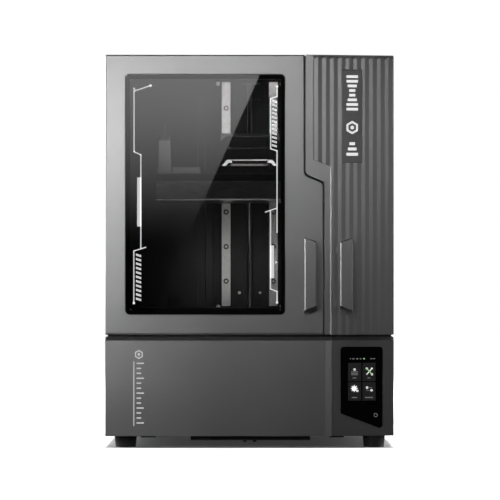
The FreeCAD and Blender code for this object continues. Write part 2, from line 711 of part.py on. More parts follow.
def side_handle():
    """Pull bar of the side door, mirrored."""
    bar = pull_bar([(146.8, 228.2), (166.3, 219.2), (166.3, 342.4), (146.8, 336.4)], -215.0, -223.0, 1)
    posts = []
    for z in (233.0, 318.0):
        foot = [(163.0, front_slope(163.0) + 2.0), (150.0, front_slope(150.0) + 2.0)]
        posts.append(slab([(150.0, -215.5), (163.0, -215.5)] + foot, z, z + 12.0))
    return fused([bar] + posts)


# ---- lift carriage ------------------------------------------------------------------------
def bearing_blocks():
    """Four guide carriages, open at the back round the rails."""
    shapes = []
    half = RAIL_WIDTH / 2.0 + 0.35
    for x in (-RAIL_X, RAIL_X):
        for z0, z1 in ((458.0, 488.0), (497.0, 528.0)):
            block = box(x - 17.0, x + 17.0, 48.0, 72.5, z0, z1)
            block = block.cut(box(x - half, x + half, RAIL_FRONT_Y - 0.35, 80.0, z0 - 1.0, z1 + 1.0))
            shapes.append(block)
    return together(shapes)


def arm_bracket():
    """Back plate and cast arm that hold the build plate out from the tower."""
    back = box(-60.0, 60.0, 36.0, 48.0, FLANGE_TOP, 528.0)
    arm = side_slab([(36.5, FLANGE_TOP), (36.5, 526.0), (14.0, 526.0), (-96.0, 508.0), (-106.0, 498.0),
                     (-106.0, FLANGE_TOP)], -50.0, 50.0)
    reliefs = []
    for x0, x1 in ((-51.0, -44.0), (44.0, 51.0)):
        reliefs.append(side_slab([(24.0, 462.0), (24.0, 512.0), (8.0, 512.0), (-84.0, 490.0), (-84.0, 462.0)],
                                 x0, x1))
    body = fused([back, arm]).cut(together(reliefs))
    return body.cut(rod(0.0, SCREW_Y, 440.0, 13.5, 100.0))


def arm_cover():
    """Stepped front plate of the arm."""
    plate = panel([(-52.0, 451.3), (52.0, 451.3), (52.0, 502.0), (40.0, 514.0), (-40.0, 514.0),
                   (-52.0, 502.0)],
                  [1.0, 1.0, 2.0, 2.0, 2.0, 2.0], -114.0, -106.0)
    step = panel([(-36.0, 494.0), (36.0, 494.0), (30.0, 515.0), (-30.0, 515.0)],
                 [1.0] * 4, -116.0, -110.5)
    return plate.cut(step).cut(box(-42.0, 42.0, -107.5, -100.0, 460.0, 490.0))


def lift_nut():
    """Flanged nut on the lead screw, fixed behind the bracket."""
    body = rod(0.0, SCREW_Y, 470.0, 11.0, 26.0)
    flange = box(-16.0, 16.0, 48.0, SCREW_Y + 10.0, 480.0, 486.0)
    return fused([body, flange]).cut(rod(0.0, SCREW_Y, 400.0, SCREW_R + RUNNING_GAP, 150.0)).cut(
        box(-30.0, 30.0, 30.0, 48.0, 400.0, 600.0))


def plate_flange():
    """Mounting plate on top of the build plate."""
    return box(-157.0, 157.0, PLATE_FRONT_Y + 4.0, PLATE_BACK_Y - 2.0, PLATE_TOP, FLANGE_TOP)


def build_plate():
    """The flat metal platform that prints grow on, with chamfered lower edges."""
    plate = box(-PLATE_HALF_X, PLATE_HALF_X, PLATE_FRONT_Y, PLATE_BACK_Y, PLATE_BOTTOM, PLATE_TOP)
    lower = [e for e in plate.Edges if e.BoundBox.ZMax < PLATE_BOTTOM + 0.1]
    return plate.makeChamfer(2.5, lower)


def post_seat():
    """Stepped seat and tapered sleeve of the left locking post, and the low sensor block beside it."""
    lower = box(-154.0, -130.0, -116.0, -92.0, FLANGE_TOP, 459.5)
    wires = []
    for z, half in ((459.0, 10.6), (507.0, 8.6)):
        plan = [(-142.0 - half, -104.0 - half), (-142.0 + half, -104.0 - half),
                (-142.0 + half, -104.0 + half), (-142.0 - half, -104.0 + half)]
        corners = [FreeCAD.Vector(x, y, z) for x, y in plan]
        wires.append(Part.makePolygon(corners + corners[:1]))
    sleeve = Part.makeLoft(wires, True, True)
    post = fused([lower, sleeve]).cut(rod(-142.0, -104.0, 462.0, 3.4, 60.0))
    return together([post, box(-128.0, -83.0, -118.0, -92.0, FLANGE_TOP, 462.0)])


def post_knob():
    """Turning knob and thin stem of the locking post."""
    stem = rod(-142.0, -104.0, 464.0, 3.35, 48.0)
    cap = rod(-142.0, -104.0, 507.5, 9.5, 6.5)
    flats = [box(-152.0, -132.0, y0, y1, 507.5, 514.0) for y0, y1 in ((-114.0, -111.6), (-96.4, -94.0))]
    top = rod(-142.0, -104.0, 512.0, 1.6, 20.0)
    return fused([stem, cap.cut(together(flats)), top])


# ---- resin tank ---------------------------------------------------------------------------
def tank_frame():
    """Metal tank with a wide rim, a pouring lip and a clamping strip at the bottom."""
    wall = box(-171.0, 171.0, -151.0, 46.0, DECK_TOP + 1.4, 222.5)
    rim = slab([(-186.0, 46.0), (-186.0, -150.0), (-166.0, -169.5), (166.0, -169.5), (186.0, -150.0),
                (186.0, 46.0)], 222.0, TANK_RIM_TOP)
    body = wall.fuse(rim)
    feet_strip = [box(x - 8.0, x + 8.0, -166.0, -151.0, DECK_TOP, 222.5) for x in (-104.0, 104.0)]
    body = body.multiFuse([box(-171.0, -163.0, -151.0, 46.0, DECK_TOP, 190.0),
                           box(163.0, 171.0, -151.0, 46.0, DECK_TOP, 190.0)] + feet_strip)
    body = body.cut(box(-163.0, 163.0, -143.0, 38.5, DECK_TOP - 1.0, 240.0))
    body = body.cut(box(-14.0, 14.0, -180.0, -162.0, 218.0, 240.0))
    for x in (-KNOB_X, KNOB_X):
        body = body.cut(rod(x, KNOB_Y, 180.0, 3.05, 60.0))
    return body.removeSplitter()


def tank_film():
    """Release film stretched across the bottom of the tank."""
    return box(-163.0, 163.0, -143.0, 38.5, DECK_TOP + 0.5, DECK_TOP + 1.3)


def tank_knob(x):
    """Captive thumb screw with two wings."""
    shaft = rod(x, KNOB_Y, 180.5, 3.0, 50.0)
    collar = rod(x, KNOB_Y, TANK_RIM_TOP + 0.3, 6.5, 10.0)
    wings = box(x - 17.0, x + 17.0, KNOB_Y - 2.0, KNOB_Y + 2.0, 232.5, 250.0)
    body = fused([shaft, collar, rod(x, KNOB_Y, 238.0, 5.5, 12.0), wings])
    notch = box(x - 10.0, x + 10.0, KNOB_Y - 9.0, KNOB_Y + 9.0, 246.0, 260.0)
    return body.cut(notch)


# ---- write every node ---------------------------------------------------------------------
engine_fan = (0.0, -52.0, 25.0, 0.0)
exhaust_fan = (155.0, 195.5, 533.0, 90.0)
nodes = {
    "base_front": base_front(),
    "base_sides": base_sides(),
    "base_floor": base_floor(),
    "feet": feet(),
    "under_tray": under_tray(),
    "floor_pads": floor_pads(),
    "deck": deck(),
    "screen_glass": screen_glass(),
    "light_engine": light_engine(),
    "lamp_board": lamp_board(),
    "heat_sink": heat_sink(),
    "fan_frames": together([placed(fan_frame(), *engine_fan), placed(fan_frame(), *exhaust_fan)]),
    "engine_fan_rotor": placed(fan_rotor(), *engine_fan),
    "exhaust_fan_rotor": placed(fan_rotor(), *exhaust_fan),
    "power_supply": power_supply(),
    "main_board": main_board(),
    "control_glass": touch_panel(-0.6, 1.6, 0.6),
    "display_housing": display_housing(),
    "door_frame": door_frame(),
    "hinge_pins": hinge_pins(),
    "side_panels": side_panels(),
    "top_panel": top_panel(),
    "inner_wall": inner_wall(),
    "tower_plate": tower_plate(),
    "rails": rails(),
    "tower_screws": rail_screws(),
    "screw_supports": screw_supports(),
    "z_motor": z_motor(),
    "lead_screw": lead_screw(),
    "shaft_coupling": shaft_coupling(),
    "door_gasket": door_gasket(),
    "chamber_light": chamber_light(),
    "rear_panel": rear_panel(),
    "rear_base_panel": rear_base_panel(),
    "power_inlet": power_inlet(),
    "rocker_housing": rocker_housing(),
    "mains_rocker": mains_rocker(),
    "usb_socket": usb_socket(),
    "side_button": side_button(),
    "filter_box": filter_box(),
    "filter_cartridge": filter_cartridge(),
    "main_door": main_door(),
    "window_glass": window_glass(),
    "main_handle": main_handle(),
    "side_door": side_door(),
    "badge_blank": badge_blank(),
    "side_handle": side_handle(),
    "bearing_blocks": bearing_blocks(),
    "arm_bracket": arm_bracket(),
    "arm_cover": arm_cover(),
    "lift_nut": lift_nut(),
    "plate_flange": plate_flange(),
    "build_plate": build_plate(),
    "post_seat": post_seat(),
    "post_knob": post_knob(),
    "tank_frame": tank_frame(),
    "tank_film": tank_film(),
    "tank_knob_left": tank_knob(-KNOB_X),
    "tank_knob_right": tank_knob(KNOB_X),
}
for name, shape in nodes.items():
    save(name, shape)
print(len(nodes), "nodes")
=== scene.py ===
import json
import math

import bpy
import numpy as np
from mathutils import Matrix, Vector


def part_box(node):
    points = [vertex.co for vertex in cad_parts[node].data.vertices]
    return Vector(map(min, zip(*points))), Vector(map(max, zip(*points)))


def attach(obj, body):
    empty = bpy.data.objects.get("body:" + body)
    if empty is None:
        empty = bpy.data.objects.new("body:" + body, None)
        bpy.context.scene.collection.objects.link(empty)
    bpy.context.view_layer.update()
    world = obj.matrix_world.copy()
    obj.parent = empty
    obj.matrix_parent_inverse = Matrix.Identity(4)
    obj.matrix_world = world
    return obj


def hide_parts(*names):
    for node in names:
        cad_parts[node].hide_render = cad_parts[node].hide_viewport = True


bl_info = {
    "name": "Resin Printer Finishes",
    "version": (1, 0, 0),
    "blender": (4, 5, 0),
    "location": "3D View > Sidebar > Resin Printer",
    "description": "Finishes, prints, fasteners and studio stage for a two-door resin printer",
    "category": "Object",
}

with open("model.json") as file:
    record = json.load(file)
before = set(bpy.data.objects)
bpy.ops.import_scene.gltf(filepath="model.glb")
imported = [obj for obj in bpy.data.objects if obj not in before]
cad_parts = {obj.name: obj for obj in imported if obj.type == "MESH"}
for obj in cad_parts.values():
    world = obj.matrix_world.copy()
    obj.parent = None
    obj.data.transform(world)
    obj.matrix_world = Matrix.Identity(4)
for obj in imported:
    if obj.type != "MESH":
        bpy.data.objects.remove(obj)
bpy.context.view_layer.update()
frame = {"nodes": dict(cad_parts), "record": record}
NODES = frame["nodes"]
MM = 0.001
SLOPE = 18.0 / 144.0  # how far the side door's face falls back for each metre to the right
POINT_UP = math.pi / 6.0  # turn that stands a hexagon on one corner


# ---- shader helper -------------------------------------------------------------------------
class Value:
    """One shader socket that can be used in arithmetic; each operation adds a Math node."""

    def __init__(self, tree, socket):
        self.tree = tree
        self.socket = socket

    def _math(self, operation, first, second=None):
        inputs = {0: first}
        if second is not None:
            inputs[1] = second
        node = self.tree.node("ShaderNodeMath", {"operation": operation}, inputs)
        return Value(self.tree, node.outputs[0])

    def __add__(self, other):
        return self._math("ADD", self, other)

    def __radd__(self, other):
        return self._math("ADD", other, self)

    def __sub__(self, other):
        return self._math("SUBTRACT", self, other)

    def __rsub__(self, other):
        return self._math("SUBTRACT", other, self)

    def __mul__(self, other):
        return self._math("MULTIPLY", self, other)

    def __rmul__(self, other):
        return self._math("MULTIPLY", other, self)

    def absolute(self):
        return self._math("ABSOLUTE", self)

    def clamped(self, low=0.0, high=1.0):
        node = self.tree.node("ShaderNodeClamp", {}, {"Value": self, "Min": low, "Max": high})
        return Value(self.tree, node.outputs[0])

    def smooth(self, low, high):
        """0 below low, 1 above high, and a smooth rise between."""
        node = self.tree.node("ShaderNodeMapRange", {"interpolation_type": "SMOOTHSTEP"},
                              {"Value": self, "From Min": low, "From Max": high})
        return Value(self.tree, node.outputs[0])


class Finish:
    """A material under construction, with one method that adds any node."""

    def __init__(self, name):
        self.material = bpy.data.materials.new(name)
        self.material.use_nodes = True
        self.tree = self.material.node_tree
        self.tree.nodes.clear()
        self.output = self.tree.nodes.new("ShaderNodeOutputMaterial")
        self.position = self.node("ShaderNodeTexCoord", {}, {}).outputs["Object"]

    def node(self, kind, settings, inputs):
        """Adds a node: its settings first, then the value or link of each named socket."""
        node = self.tree.nodes.new(kind)
        for key, value in settings.items():
            setattr(node, key, value)
        for key, value in inputs.items():
            socket = node.inputs[key]
            if isinstance(value, Value):
                self.tree.links.new(value.socket, socket)
            elif isinstance(value, bpy.types.NodeSocket):
                self.tree.links.new(value, socket)
            else:
                socket.default_value = value
        return node

    def value(self, node, name=0):
        return Value(self, node.outputs[name])

    def place(self, scale=(1.0, 1.0, 1.0)):
        """Object coordinates stretched by a factor along each axis."""
        return self.node("ShaderNodeMapping", {}, {"Vector": self.position, "Scale": scale}).outputs[0]

    def noise(self, scale, detail=3.0, rough=0.5, stretch=None):
        """Cloudy pattern from 0 to 1; a stretch squeezes it along chosen axes."""
        where = self.position if stretch is None else self.place(stretch)
        node = self.node("ShaderNodeTexNoise", {},
                         {"Vector": where, "Scale": scale, "Detail": detail, "Roughness": rough})
        return self.value(node)

    def greatest(self, first, second):
        node = self.node("ShaderNodeMath", {"operation": "MAXIMUM"}, {0: first, 1: second})
        return self.value(node)

    def axis(self, letter):
        """One object coordinate, in metres."""
        node = self.node("ShaderNodeSeparateXYZ", {}, {"Vector": self.position})
        return self.value(node, letter)

    def blend(self, factor, first, second):
        """A colour between two colours or colour sockets."""
        node = self.node("ShaderNodeMix", {"data_type": "RGBA"}, {"Factor": factor, "A": first, "B": second})
        return node.outputs["Result"]

    def edges(self, radius):
        """How sharply the surface turns within a radius: 0 on flats, up to 1 on edges."""
        soft = self.node("ShaderNodeBevel", {"samples": 4}, {"Radius": radius})
        flat = self.node("ShaderNodeNewGeometry", {}, {})
        dot = self.node("ShaderNodeVectorMath", {"operation": "DOT_PRODUCT"},
                        {0: soft.outputs[0], 1: flat.outputs["True Normal"]})
        return soft.outputs[0], (1.0 - self.value(dot, "Value")).smooth(0.01, 0.22)

    def bump(self, height, strength, distance, normal=None):
        """A normal tilted by a height pattern, on top of another normal if one is given."""
        inputs = {"Height": height, "Strength": strength, "Distance": distance}
        if normal is not None:
            inputs["Normal"] = normal
        return self.node("ShaderNodeBump", {}, inputs).outputs[0]

    def around(self, middle, *patterns):
        """A value moved to either side of a middle by patterns of 0 to 1, each with its own strength."""
        for pattern, strength in patterns:
            middle = middle + (pattern - 0.5) * strength
        return middle.clamped()

    def surface(self, **inputs):
        """Ends the material in one Principled shader; names use _ for spaces."""
        named = {key.replace("_", " "): value for key, value in inputs.items()}
        shader = self.node("ShaderNodeBsdfPrincipled", {}, named)
        self.tree.links.new(shader.outputs[0], self.output.inputs["Surface"])
        return self.material


def grey(level, warm=0.0):
    """An even grey, or one leaning towards red by a small share."""
    return (level * (1.0 + warm), level, level * (1.0 - warm), 1.0)


# ---- finishes ------------------------------------------------------------------------------
def satin_gunmetal(settings):
    """Satin metallic paint: fine flake, faint clouding, worn patches on its edges and a painted highlight
    along every edge.
    """
    f = Finish("satin_gunmetal")
    cloud = f.noise(6.0, 4.0, 0.55)
    flake = f.noise(2600.0, 2.0, 0.6)
    grain = f.noise(900.0, 3.0, 0.55)
    edge_normal, edge = f.edges(0.0009)
    wear = edge * f.noise(55.0, 5.0, 0.7).smooth(0.42, 0.7)
    level = settings.paint_level
    base = f.blend(cloud.smooth(0.3, 0.7), grey(level * 0.96), grey(level * 1.04))
    sparkle = f.blend((flake.smooth(0.5, 0.8) * 0.22).clamped(), base, grey(0.8))
    # Painted highlight: every edge is lightened a little (the edge share); the patchy share is wear.
    colour = f.blend((wear * 0.5 + edge * 0.16).clamped(), sparkle, grey(0.75))
    rough = (settings.paint_roughness + (cloud - 0.5) * 0.05 + (flake - 0.5) * 0.06 - wear * 0.06).clamped()
    normal = f.bump(grain, 0.05, 0.0003, edge_normal)
    return f.surface(Base_Color=colour, Metallic=0.92, Roughness=rough, Normal=normal)


def powder_coat(settings):
    """Fine-textured powder coat on sheet metal, with dust in its grain and a painted highlight along its
    edges.
    """
    f = Finish("powder_coat")
    peel = f.noise(520.0, 4.0, 0.6)
    cloud = f.noise(4.0, 5.0, 0.6)
    edge_normal, edge = f.edges(0.001)
    level = settings.sheet_level
    base = f.blend(cloud.smooth(0.3, 0.72), grey(level * 0.86), grey(level * 1.14))
    # Painted highlight: every edge is lightened; the lighter peel specks are dust in the grain.
    colour = f.blend((edge * 0.35 + peel.smooth(0.55, 0.75) * 0.12).clamped(), base, grey(0.38))
    rough = f.around(0.44, (peel, 0.16), (cloud, 0.08))
    return f.surface(Base_Color=colour, Metallic=0.4, Roughness=rough,
                     Normal=f.bump(peel, 0.22, 0.0005, edge_normal))


def chamber_black(settings):
    """Matt black coat of the chamber walls, with faint wipe marks and a painted highlight along its edges."""
    f = Finish("chamber_black")
    peel = f.noise(480.0, 3.0, 0.6)
    wipe = f.noise(9.0, 5.0, 0.65, (1.0, 1.0, 0.25))
    edge_normal, edge = f.edges(0.0016)
    base = f.blend(wipe.smooth(0.35, 0.75), grey(0.006), grey(0.014))
    # Painted highlight: every edge of the black walls is lightened towards grey.
    base = f.blend((edge * 0.7).clamped(), base, grey(0.16))
    rough = f.around(0.42, (wipe, 0.2), (peel, 0.08))
    return f.surface(Base_Color=base, Roughness=rough, Normal=f.bump(peel, 0.1, 0.0003, edge_normal))


def foot_rubber(settings):
    """Matt black rubber with fine pitting and floor dust low down."""
    f = Finish("foot_rubber")
    pit = f.noise(700.0, 4.0, 0.7)
    dust = (1.0 - f.axis("Z").smooth(0.0, 0.012)) * f.noise(60.0, 4.0, 0.6).smooth(0.4, 0.7)
    colour = f.blend((dust * 0.25).clamped(), f.blend(pit, grey(0.03), grey(0.05)), grey(0.2, 0.04))
    return f.surface(Base_Color=colour, Roughness=f.around(0.62, (pit, 0.2)),
                     Normal=f.bump(pit, 0.2, 0.0004))


def smoked_pane(settings):
    """Smoke-tinted pane: mirror-clean face, faint smears, see-through body."""
    f = Finish("smoked_pane")
    smear = f.noise(5.0, 6.0, 0.62, (1.0, 1.0, 0.4))
    speck = f.noise(420.0, 2.0, 0.5).smooth(0.72, 0.78)
    rough = (0.012 + smear.smooth(0.5, 0.8) * 0.02 + speck * 0.05).clamped()
    alpha = (settings.pane_density + speck * 0.05 + (smear - 0.5) * 0.02).clamped()
    colour = f.blend((smear * 0.3).clamped(), grey(0.004), grey(0.012))
    return f.surface(Base_Color=colour, Roughness=rough, Alpha=alpha, IOR=1.9, Specular_IOR_Level=1.0)


def black_glass(name):
    """Opaque black glass with a few fingerprints' worth of haze."""
    f = Finish(name)
    smear = f.noise(30.0, 6.0, 0.65)
    speck = f.noise(900.0, 2.0, 0.5).smooth(0.7, 0.78)
    rough = (0.06 + smear.smooth(0.5, 0.75) * 0.07 + speck * 0.1).clamped()
    colour = f.blend(smear, grey(0.002), grey(0.005))
    return f.surface(Base_Color=colour, Roughness=rough, IOR=1.5)


def black_plastic(settings):
    """Fine-grained moulded plastic, with a painted highlight along its edges."""
    f = Finish("black_plastic")
    grain = f.noise(1100.0, 4.0, 0.6)
    cloud = f.noise(25.0, 3.0, 0.5)
    edge_normal, edge = f.edges(0.0005)
    # Painted highlight: every edge is lightened.
    colour = f.blend((edge * 0.3).clamped(), f.blend(cloud, grey(0.012), grey(0.024)), grey(0.09))
    rough = f.around(0.42, (grain, 0.2))
    return f.surface(Base_Color=colour, Roughness=rough, Normal=f.bump(grain, 0.14, 0.0003, edge_normal))


def black_anodised(settings):
    """Bead-blasted black anodised aluminium, with worn patches on its edges and a painted highlight along
    every edge.
    """
    f = Finish("black_anodised")
    grain = f.noise(1500.0, 3.0, 0.6)
    cloud = f.noise(14.0, 4.0, 0.55)
    edge_normal, edge = f.edges(0.0009)
    wear = edge * f.noise(90.0, 4.0, 0.7).smooth(0.45, 0.7)
    base = f.blend(cloud, grey(0.012), grey(0.024))
    # Painted highlight: every edge is lightened (the edge share); the patchy share is wear.
    colour = f.blend((wear * 0.5 + edge * 0.34).clamped(), base, grey(0.5))
    rough = f.around(0.4, (grain, 0.12), (cloud, 0.06))
    return f.surface(Base_Color=colour, Metallic=0.75, Roughness=rough,
                     Normal=f.bump(grain, 0.08, 0.0002, edge_normal))


def brushed_plate(settings):
    """Machined aluminium, its tool marks running left to right, with a painted highlight along its edges."""
    f = Finish("brushed_plate")
    streak = f.noise(60.0, 6.0, 0.7, (0.6, 30.0, 30.0))
    cloud = f.noise(12.0, 3.0, 0.5)
    edge_normal, edge = f.edges(0.0007)
    colour = f.blend(streak, grey(0.16), grey(0.27))
    # Painted highlight: every edge is lightened.
    colour = f.blend((edge * 0.4).clamped(), colour, grey(0.8))
    rough = f.around(0.3, (streak, 0.24), (cloud, 0.1))
    return f.surface(Base_Color=colour, Metallic=1.0, Roughness=rough,
                     Normal=f.bump(streak, 0.12, 0.0003, edge_normal))


def ground_steel(settings):
    """Ground rail steel with lengthwise grinding lines and a film of oil."""
    f = Finish("ground_steel")
    line = f.noise(80.0, 5.0, 0.7, (26.0, 26.0, 0.5))
    oil = f.noise(11.0, 4.0, 0.6)
    colour = f.blend(line, grey(0.62, 0.012), grey(0.82, 0.015))
    rough = f.around(0.42, (line, 0.16), (oil, 0.16))
    return f.surface(Base_Color=colour, Metallic=0.55, Roughness=rough, Normal=f.bump(line, 0.1, 0.0002))


def oiled_steel(settings):
    """Rolled screw steel, wet with grease."""
    f = Finish("oiled_steel")
    grease = f.noise(60.0, 4.0, 0.6, (1.0, 1.0, 0.3))
    colour = f.blend(grease, grey(0.6), grey(0.8))
    rough = f.around(0.24, (grease, 0.2))
    return f.surface(Base_Color=colour, Metallic=1.0, Roughness=rough, Normal=f.bump(grease, 0.1, 0.0003))


def turned_brass(settings):
    """Turned brass with rings of tool marks and light tarnish."""
    f = Finish("turned_brass")
    ring = f.noise(50.0, 4.0, 0.6, (1.0, 1.0, 40.0))
    tarnish = f.noise(70.0, 5.0, 0.6)
    colour = f.blend(tarnish.smooth(0.4, 0.8), (0.72, 0.52, 0.22, 1.0), (0.42, 0.28, 0.12, 1.0))
    rough = f.around(0.28, (ring, 0.2), (tarnish, 0.2))
    return f.surface(Base_Color=colour, Metallic=1.0, Roughness=rough, Normal=f.bump(ring, 0.15, 0.0003))


def zinc_case(settings):
    """Zinc-plated steel with its faint crystal pattern."""
    f = Finish("zinc_case")
    cell = f.node("ShaderNodeTexVoronoi", {}, {"Vector": f.position, "Scale": 130.0})
    flake = f.value(cell, "Distance")
    scratch = f.noise(70.0, 5.0, 0.7, (20.0, 1.0, 1.0))
    colour = f.blend(flake.clamped(), grey(0.42), grey(0.62))
    rough = (0.34 + (scratch - 0.5) * 0.2 + flake * 0.1).clamped()
    return f.surface(Base_Color=colour, Metallic=1.0, Roughness=rough, Normal=f.bump(scratch, 0.08, 0.0002))


def circuit_green(settings):
    """Solder-masked board with darker copper runs."""
    f = Finish("circuit_green")
    cell = f.node("ShaderNodeTexVoronoi", {"distance": "CHEBYCHEV", "feature": "DISTANCE_TO_EDGE"},
                  {"Vector": f.position, "Scale": 190.0})
    run = 1.0 - f.value(cell).smooth(0.02, 0.06)
    colour = f.blend(run, (0.012, 0.06, 0.03, 1.0), (0.02, 0.13, 0.06, 1.0))
    return f.surface(Base_Color=colour, Roughness=(0.3 + run * 0.15).clamped(),
                     Normal=f.bump(run, 0.3, 0.0002))


def mirror_hopper(settings):
    """Polished reflector sheet with gentle ripples."""
    f = Finish("mirror_hopper")
    ripple = f.noise(24.0, 2.0, 0.4)
    scratch = f.noise(90.0, 5.0, 0.7, (1.0, 14.0, 1.0))
    rough = (0.08 + scratch.smooth(0.5, 0.9) * 0.2).clamped()
    return f.surface(Base_Color=f.blend(ripple, grey(0.68), grey(0.8)), Metallic=1.0, Roughness=rough,
                     Normal=f.bump(ripple, 0.1, 0.001))


def clear_film(settings):
    """Tight clear release film with a resin tint and slight waviness."""
    f = Finish("clear_film")
    wave = f.noise(16.0, 3.0, 0.5)
    colour = f.blend(wave, (0.30, 0.30, 0.31, 1.0), (0.4, 0.4, 0.41, 1.0))
    alpha = f.around(0.22, (wave, 0.1))
    return f.surface(Base_Color=colour, Roughness=(0.08 + wave * 0.1).clamped(), Alpha=alpha,
                     Normal=f.bump(wave, 0.05, 0.0005))


def light_diffuser(settings):
    """Milky strip, paler over each lamp behind it as a painted glow; the strip gives off no light."""
    f = Finish("light_diffuser")
    wave = f.node("ShaderNodeTexWave", {"wave_type": "BANDS", "bands_direction": "X"},
                  {"Vector": f.position, "Scale": 16.0})
    lamp_glow_band = f.value(wave, 1)
    # Painted glow: paler bands stand in for the lamps shining through.
    glow = f.blend(lamp_glow_band, (0.75, 0.78, 0.8, 1.0), (1.0, 1.0, 1.0, 1.0))
    return f.surface(Base_Color=f.blend((lamp_glow_band * 0.3).clamped(), grey(0.62), glow),
                     Roughness=(0.4 + lamp_glow_band * 0.1).clamped())


def carbon_mat(settings):
    """Fluffy black carbon mat."""
    f = Finish("carbon_mat")
    fluff = f.noise(340.0, 6.0, 0.75)
    colour = f.blend(fluff, grey(0.01), grey(0.06))
    return f.surface(Base_Color=colour, Roughness=(0.85 + fluff * 0.1).clamped(),
                     Normal=f.bump(fluff, 0.6, 0.001))


def black_border(settings):
    """Baked black enamel round the pane, with pinholes."""
    f = Finish("black_border")
    grain = f.noise(800.0, 4.0, 0.6)
    colour = f.blend(grain, grey(0.001), grey(0.004))
    return f.surface(Base_Color=colour, Roughness=f.around(0.5, (grain, 0.2)), Specular_IOR_Level=0.1)


def white_ink(name, level, strength=0.0):
    """Screen-printed ink, slightly uneven; a strength makes it glow: on the display that is its own light, on
    the print and badge inks it is painted light.
    """
    f = Finish(name)
    patch = f.noise(260.0, 4.0, 0.6)
    colour = f.blend(patch, grey(level * 0.9), grey(min(1.0, level * 1.08)))
    rough = f.around(0.45, (patch, 0.2))
    if strength > 0.0:
        return f.surface(Base_Color=colour, Roughness=rough, Emission_Color=colour,
                         Emission_Strength=strength)
    return f.surface(Base_Color=colour, Roughness=rough, Normal=f.bump(patch, 0.1, 0.0001))


def lit_green(name, strength):
    """Green lit mark of the display."""
    f = Finish(name)
    patch = f.noise(300.0, 3.0, 0.5)
    colour = f.blend(patch, (0.25, 0.62, 0.2, 1.0), (0.4, 0.8, 0.32, 1.0))
    return f.surface(Base_Color=colour, Roughness=(0.4 + patch * 0.1).clamped(), Emission_Color=colour,
                     Emission_Strength=strength)


def dark_screw(settings):
    """Blackened screw steel, lighter along every edge as a painted highlight."""
    f = Finish("dark_screw")
    grain = f.noise(1300.0, 3.0, 0.6)
    edge_normal, edge = f.edges(0.0003)
    # Painted highlight: the rims and all other edges are lightened.
    colour = f.blend((edge * 0.6).clamped(), f.blend(grain, grey(0.05), grey(0.09)), grey(0.45))
    return f.surface(Base_Color=colour, Metallic=1.0, Roughness=f.around(0.34, (grain, 0.16)),
                     Normal=f.bump(grain, 0.1, 0.0002, edge_normal))


def cast_grey(settings):
    """Fine-cast aluminium with a pebbled skin, paler on its edges as a painted highlight."""
    f = Finish("cast_grey")
    pebble = f.noise(420.0, 4.0, 0.6)
    edge_normal, edge = f.edges(0.0006)
    # Painted highlight: every edge is lightened.
    colour = f.blend((edge * 0.4).clamped(), f.blend(pebble, grey(0.09), grey(0.14)), grey(0.45))
    rough = f.around(0.5, (pebble, 0.2))
    return f.surface(Base_Color=colour, Metallic=0.3, Roughness=rough,
                     Normal=f.bump(pebble, 0.25, 0.0004, edge_normal))


def badge_paint(settings):
    """Matt grey plate set in the side door, with a fine orange-peel skin."""
    f = Finish("badge_paint")
    peel = f.noise(480.0, 4.0, 0.6)
    edge_normal, edge = f.edges(0.0006)
    # Painted highlight: every edge of the plate is lightened a little.
    colour = f.blend((edge * 0.3).clamped(), f.blend(peel, grey(0.38), grey(0.44)), grey(0.45))
    rough = f.around(0.5, (peel, 0.16))
    return f.surface(Base_Color=colour, Metallic=0.5, Roughness=rough,
                     Normal=f.bump(peel, 0.15, 0.0003, edge_normal))


NODE_FINISHES = {"post_seat": cast_grey, "badge_blank": badge_paint}

SLOT_FINISHES = {
    "gunmetal_paint": satin_gunmetal,
    "sheet_paint": powder_coat,
    "chamber_paint": chamber_black,
    "foot_rubber": foot_rubber,
    "dark_glass": smoked_pane,
    "screen_glass": lambda settings: black_glass("masking_screen"),
    "control_glass": lambda settings: black_glass("control_black"),
    "black_plastic": black_plastic,
    "tower_metal": black_anodised,
    "plate_metal": brushed_plate,
    "rail_steel": ground_steel,
    "nut_brass": turned_brass,
    "supply_case": zinc_case,
    "circuit_board": circuit_green,
    "hopper": mirror_hopper,
    "film": clear_film,
    "light_bar": light_diffuser,
    "filter_carbon": carbon_mat,
}


# ---- surfaces worked out with numpy --------------------------------------------------------
def add_mesh(name, points, faces, material, body):
    """Makes an object from arrays of points and faces, and rides it on a body."""
    mesh = bpy.data.meshes.new(name)
    mesh.from_pydata(np.asarray(points, float).tolist(), [], [list(face) for face in faces])
    mesh.update()
    mesh.materials.append(material)
    piece = bpy.data.objects.new(name, mesh)
    bpy.context.scene.collection.objects.link(piece)
    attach(piece, body)
    return piece


def smooth_by_angle(piece, degrees):
    """Rounds the shading of a finished piece where neighbouring faces turn less than an angle."""
    piece.data.polygons.foreach_set("use_smooth", np.ones(len(piece.data.polygons), bool))
    piece.data.set_sharp_from_angle(angle=math.radians(degrees))


def depth_at(y):
    """A front for prisms that lies at one depth."""
    return lambda x: np.full(np.shape(x), y)


def side_face(low):
    """A front for prisms that follows the slope of the side door from one lower corner."""
    return lambda x: low.y + (x - low.x) * SLOPE


def tile(x0, x1, z0, z1):
    """Corners of an upright rectangle."""
    return [(x0, z0), (x1, z0), (x1, z1), (x0, z1)]


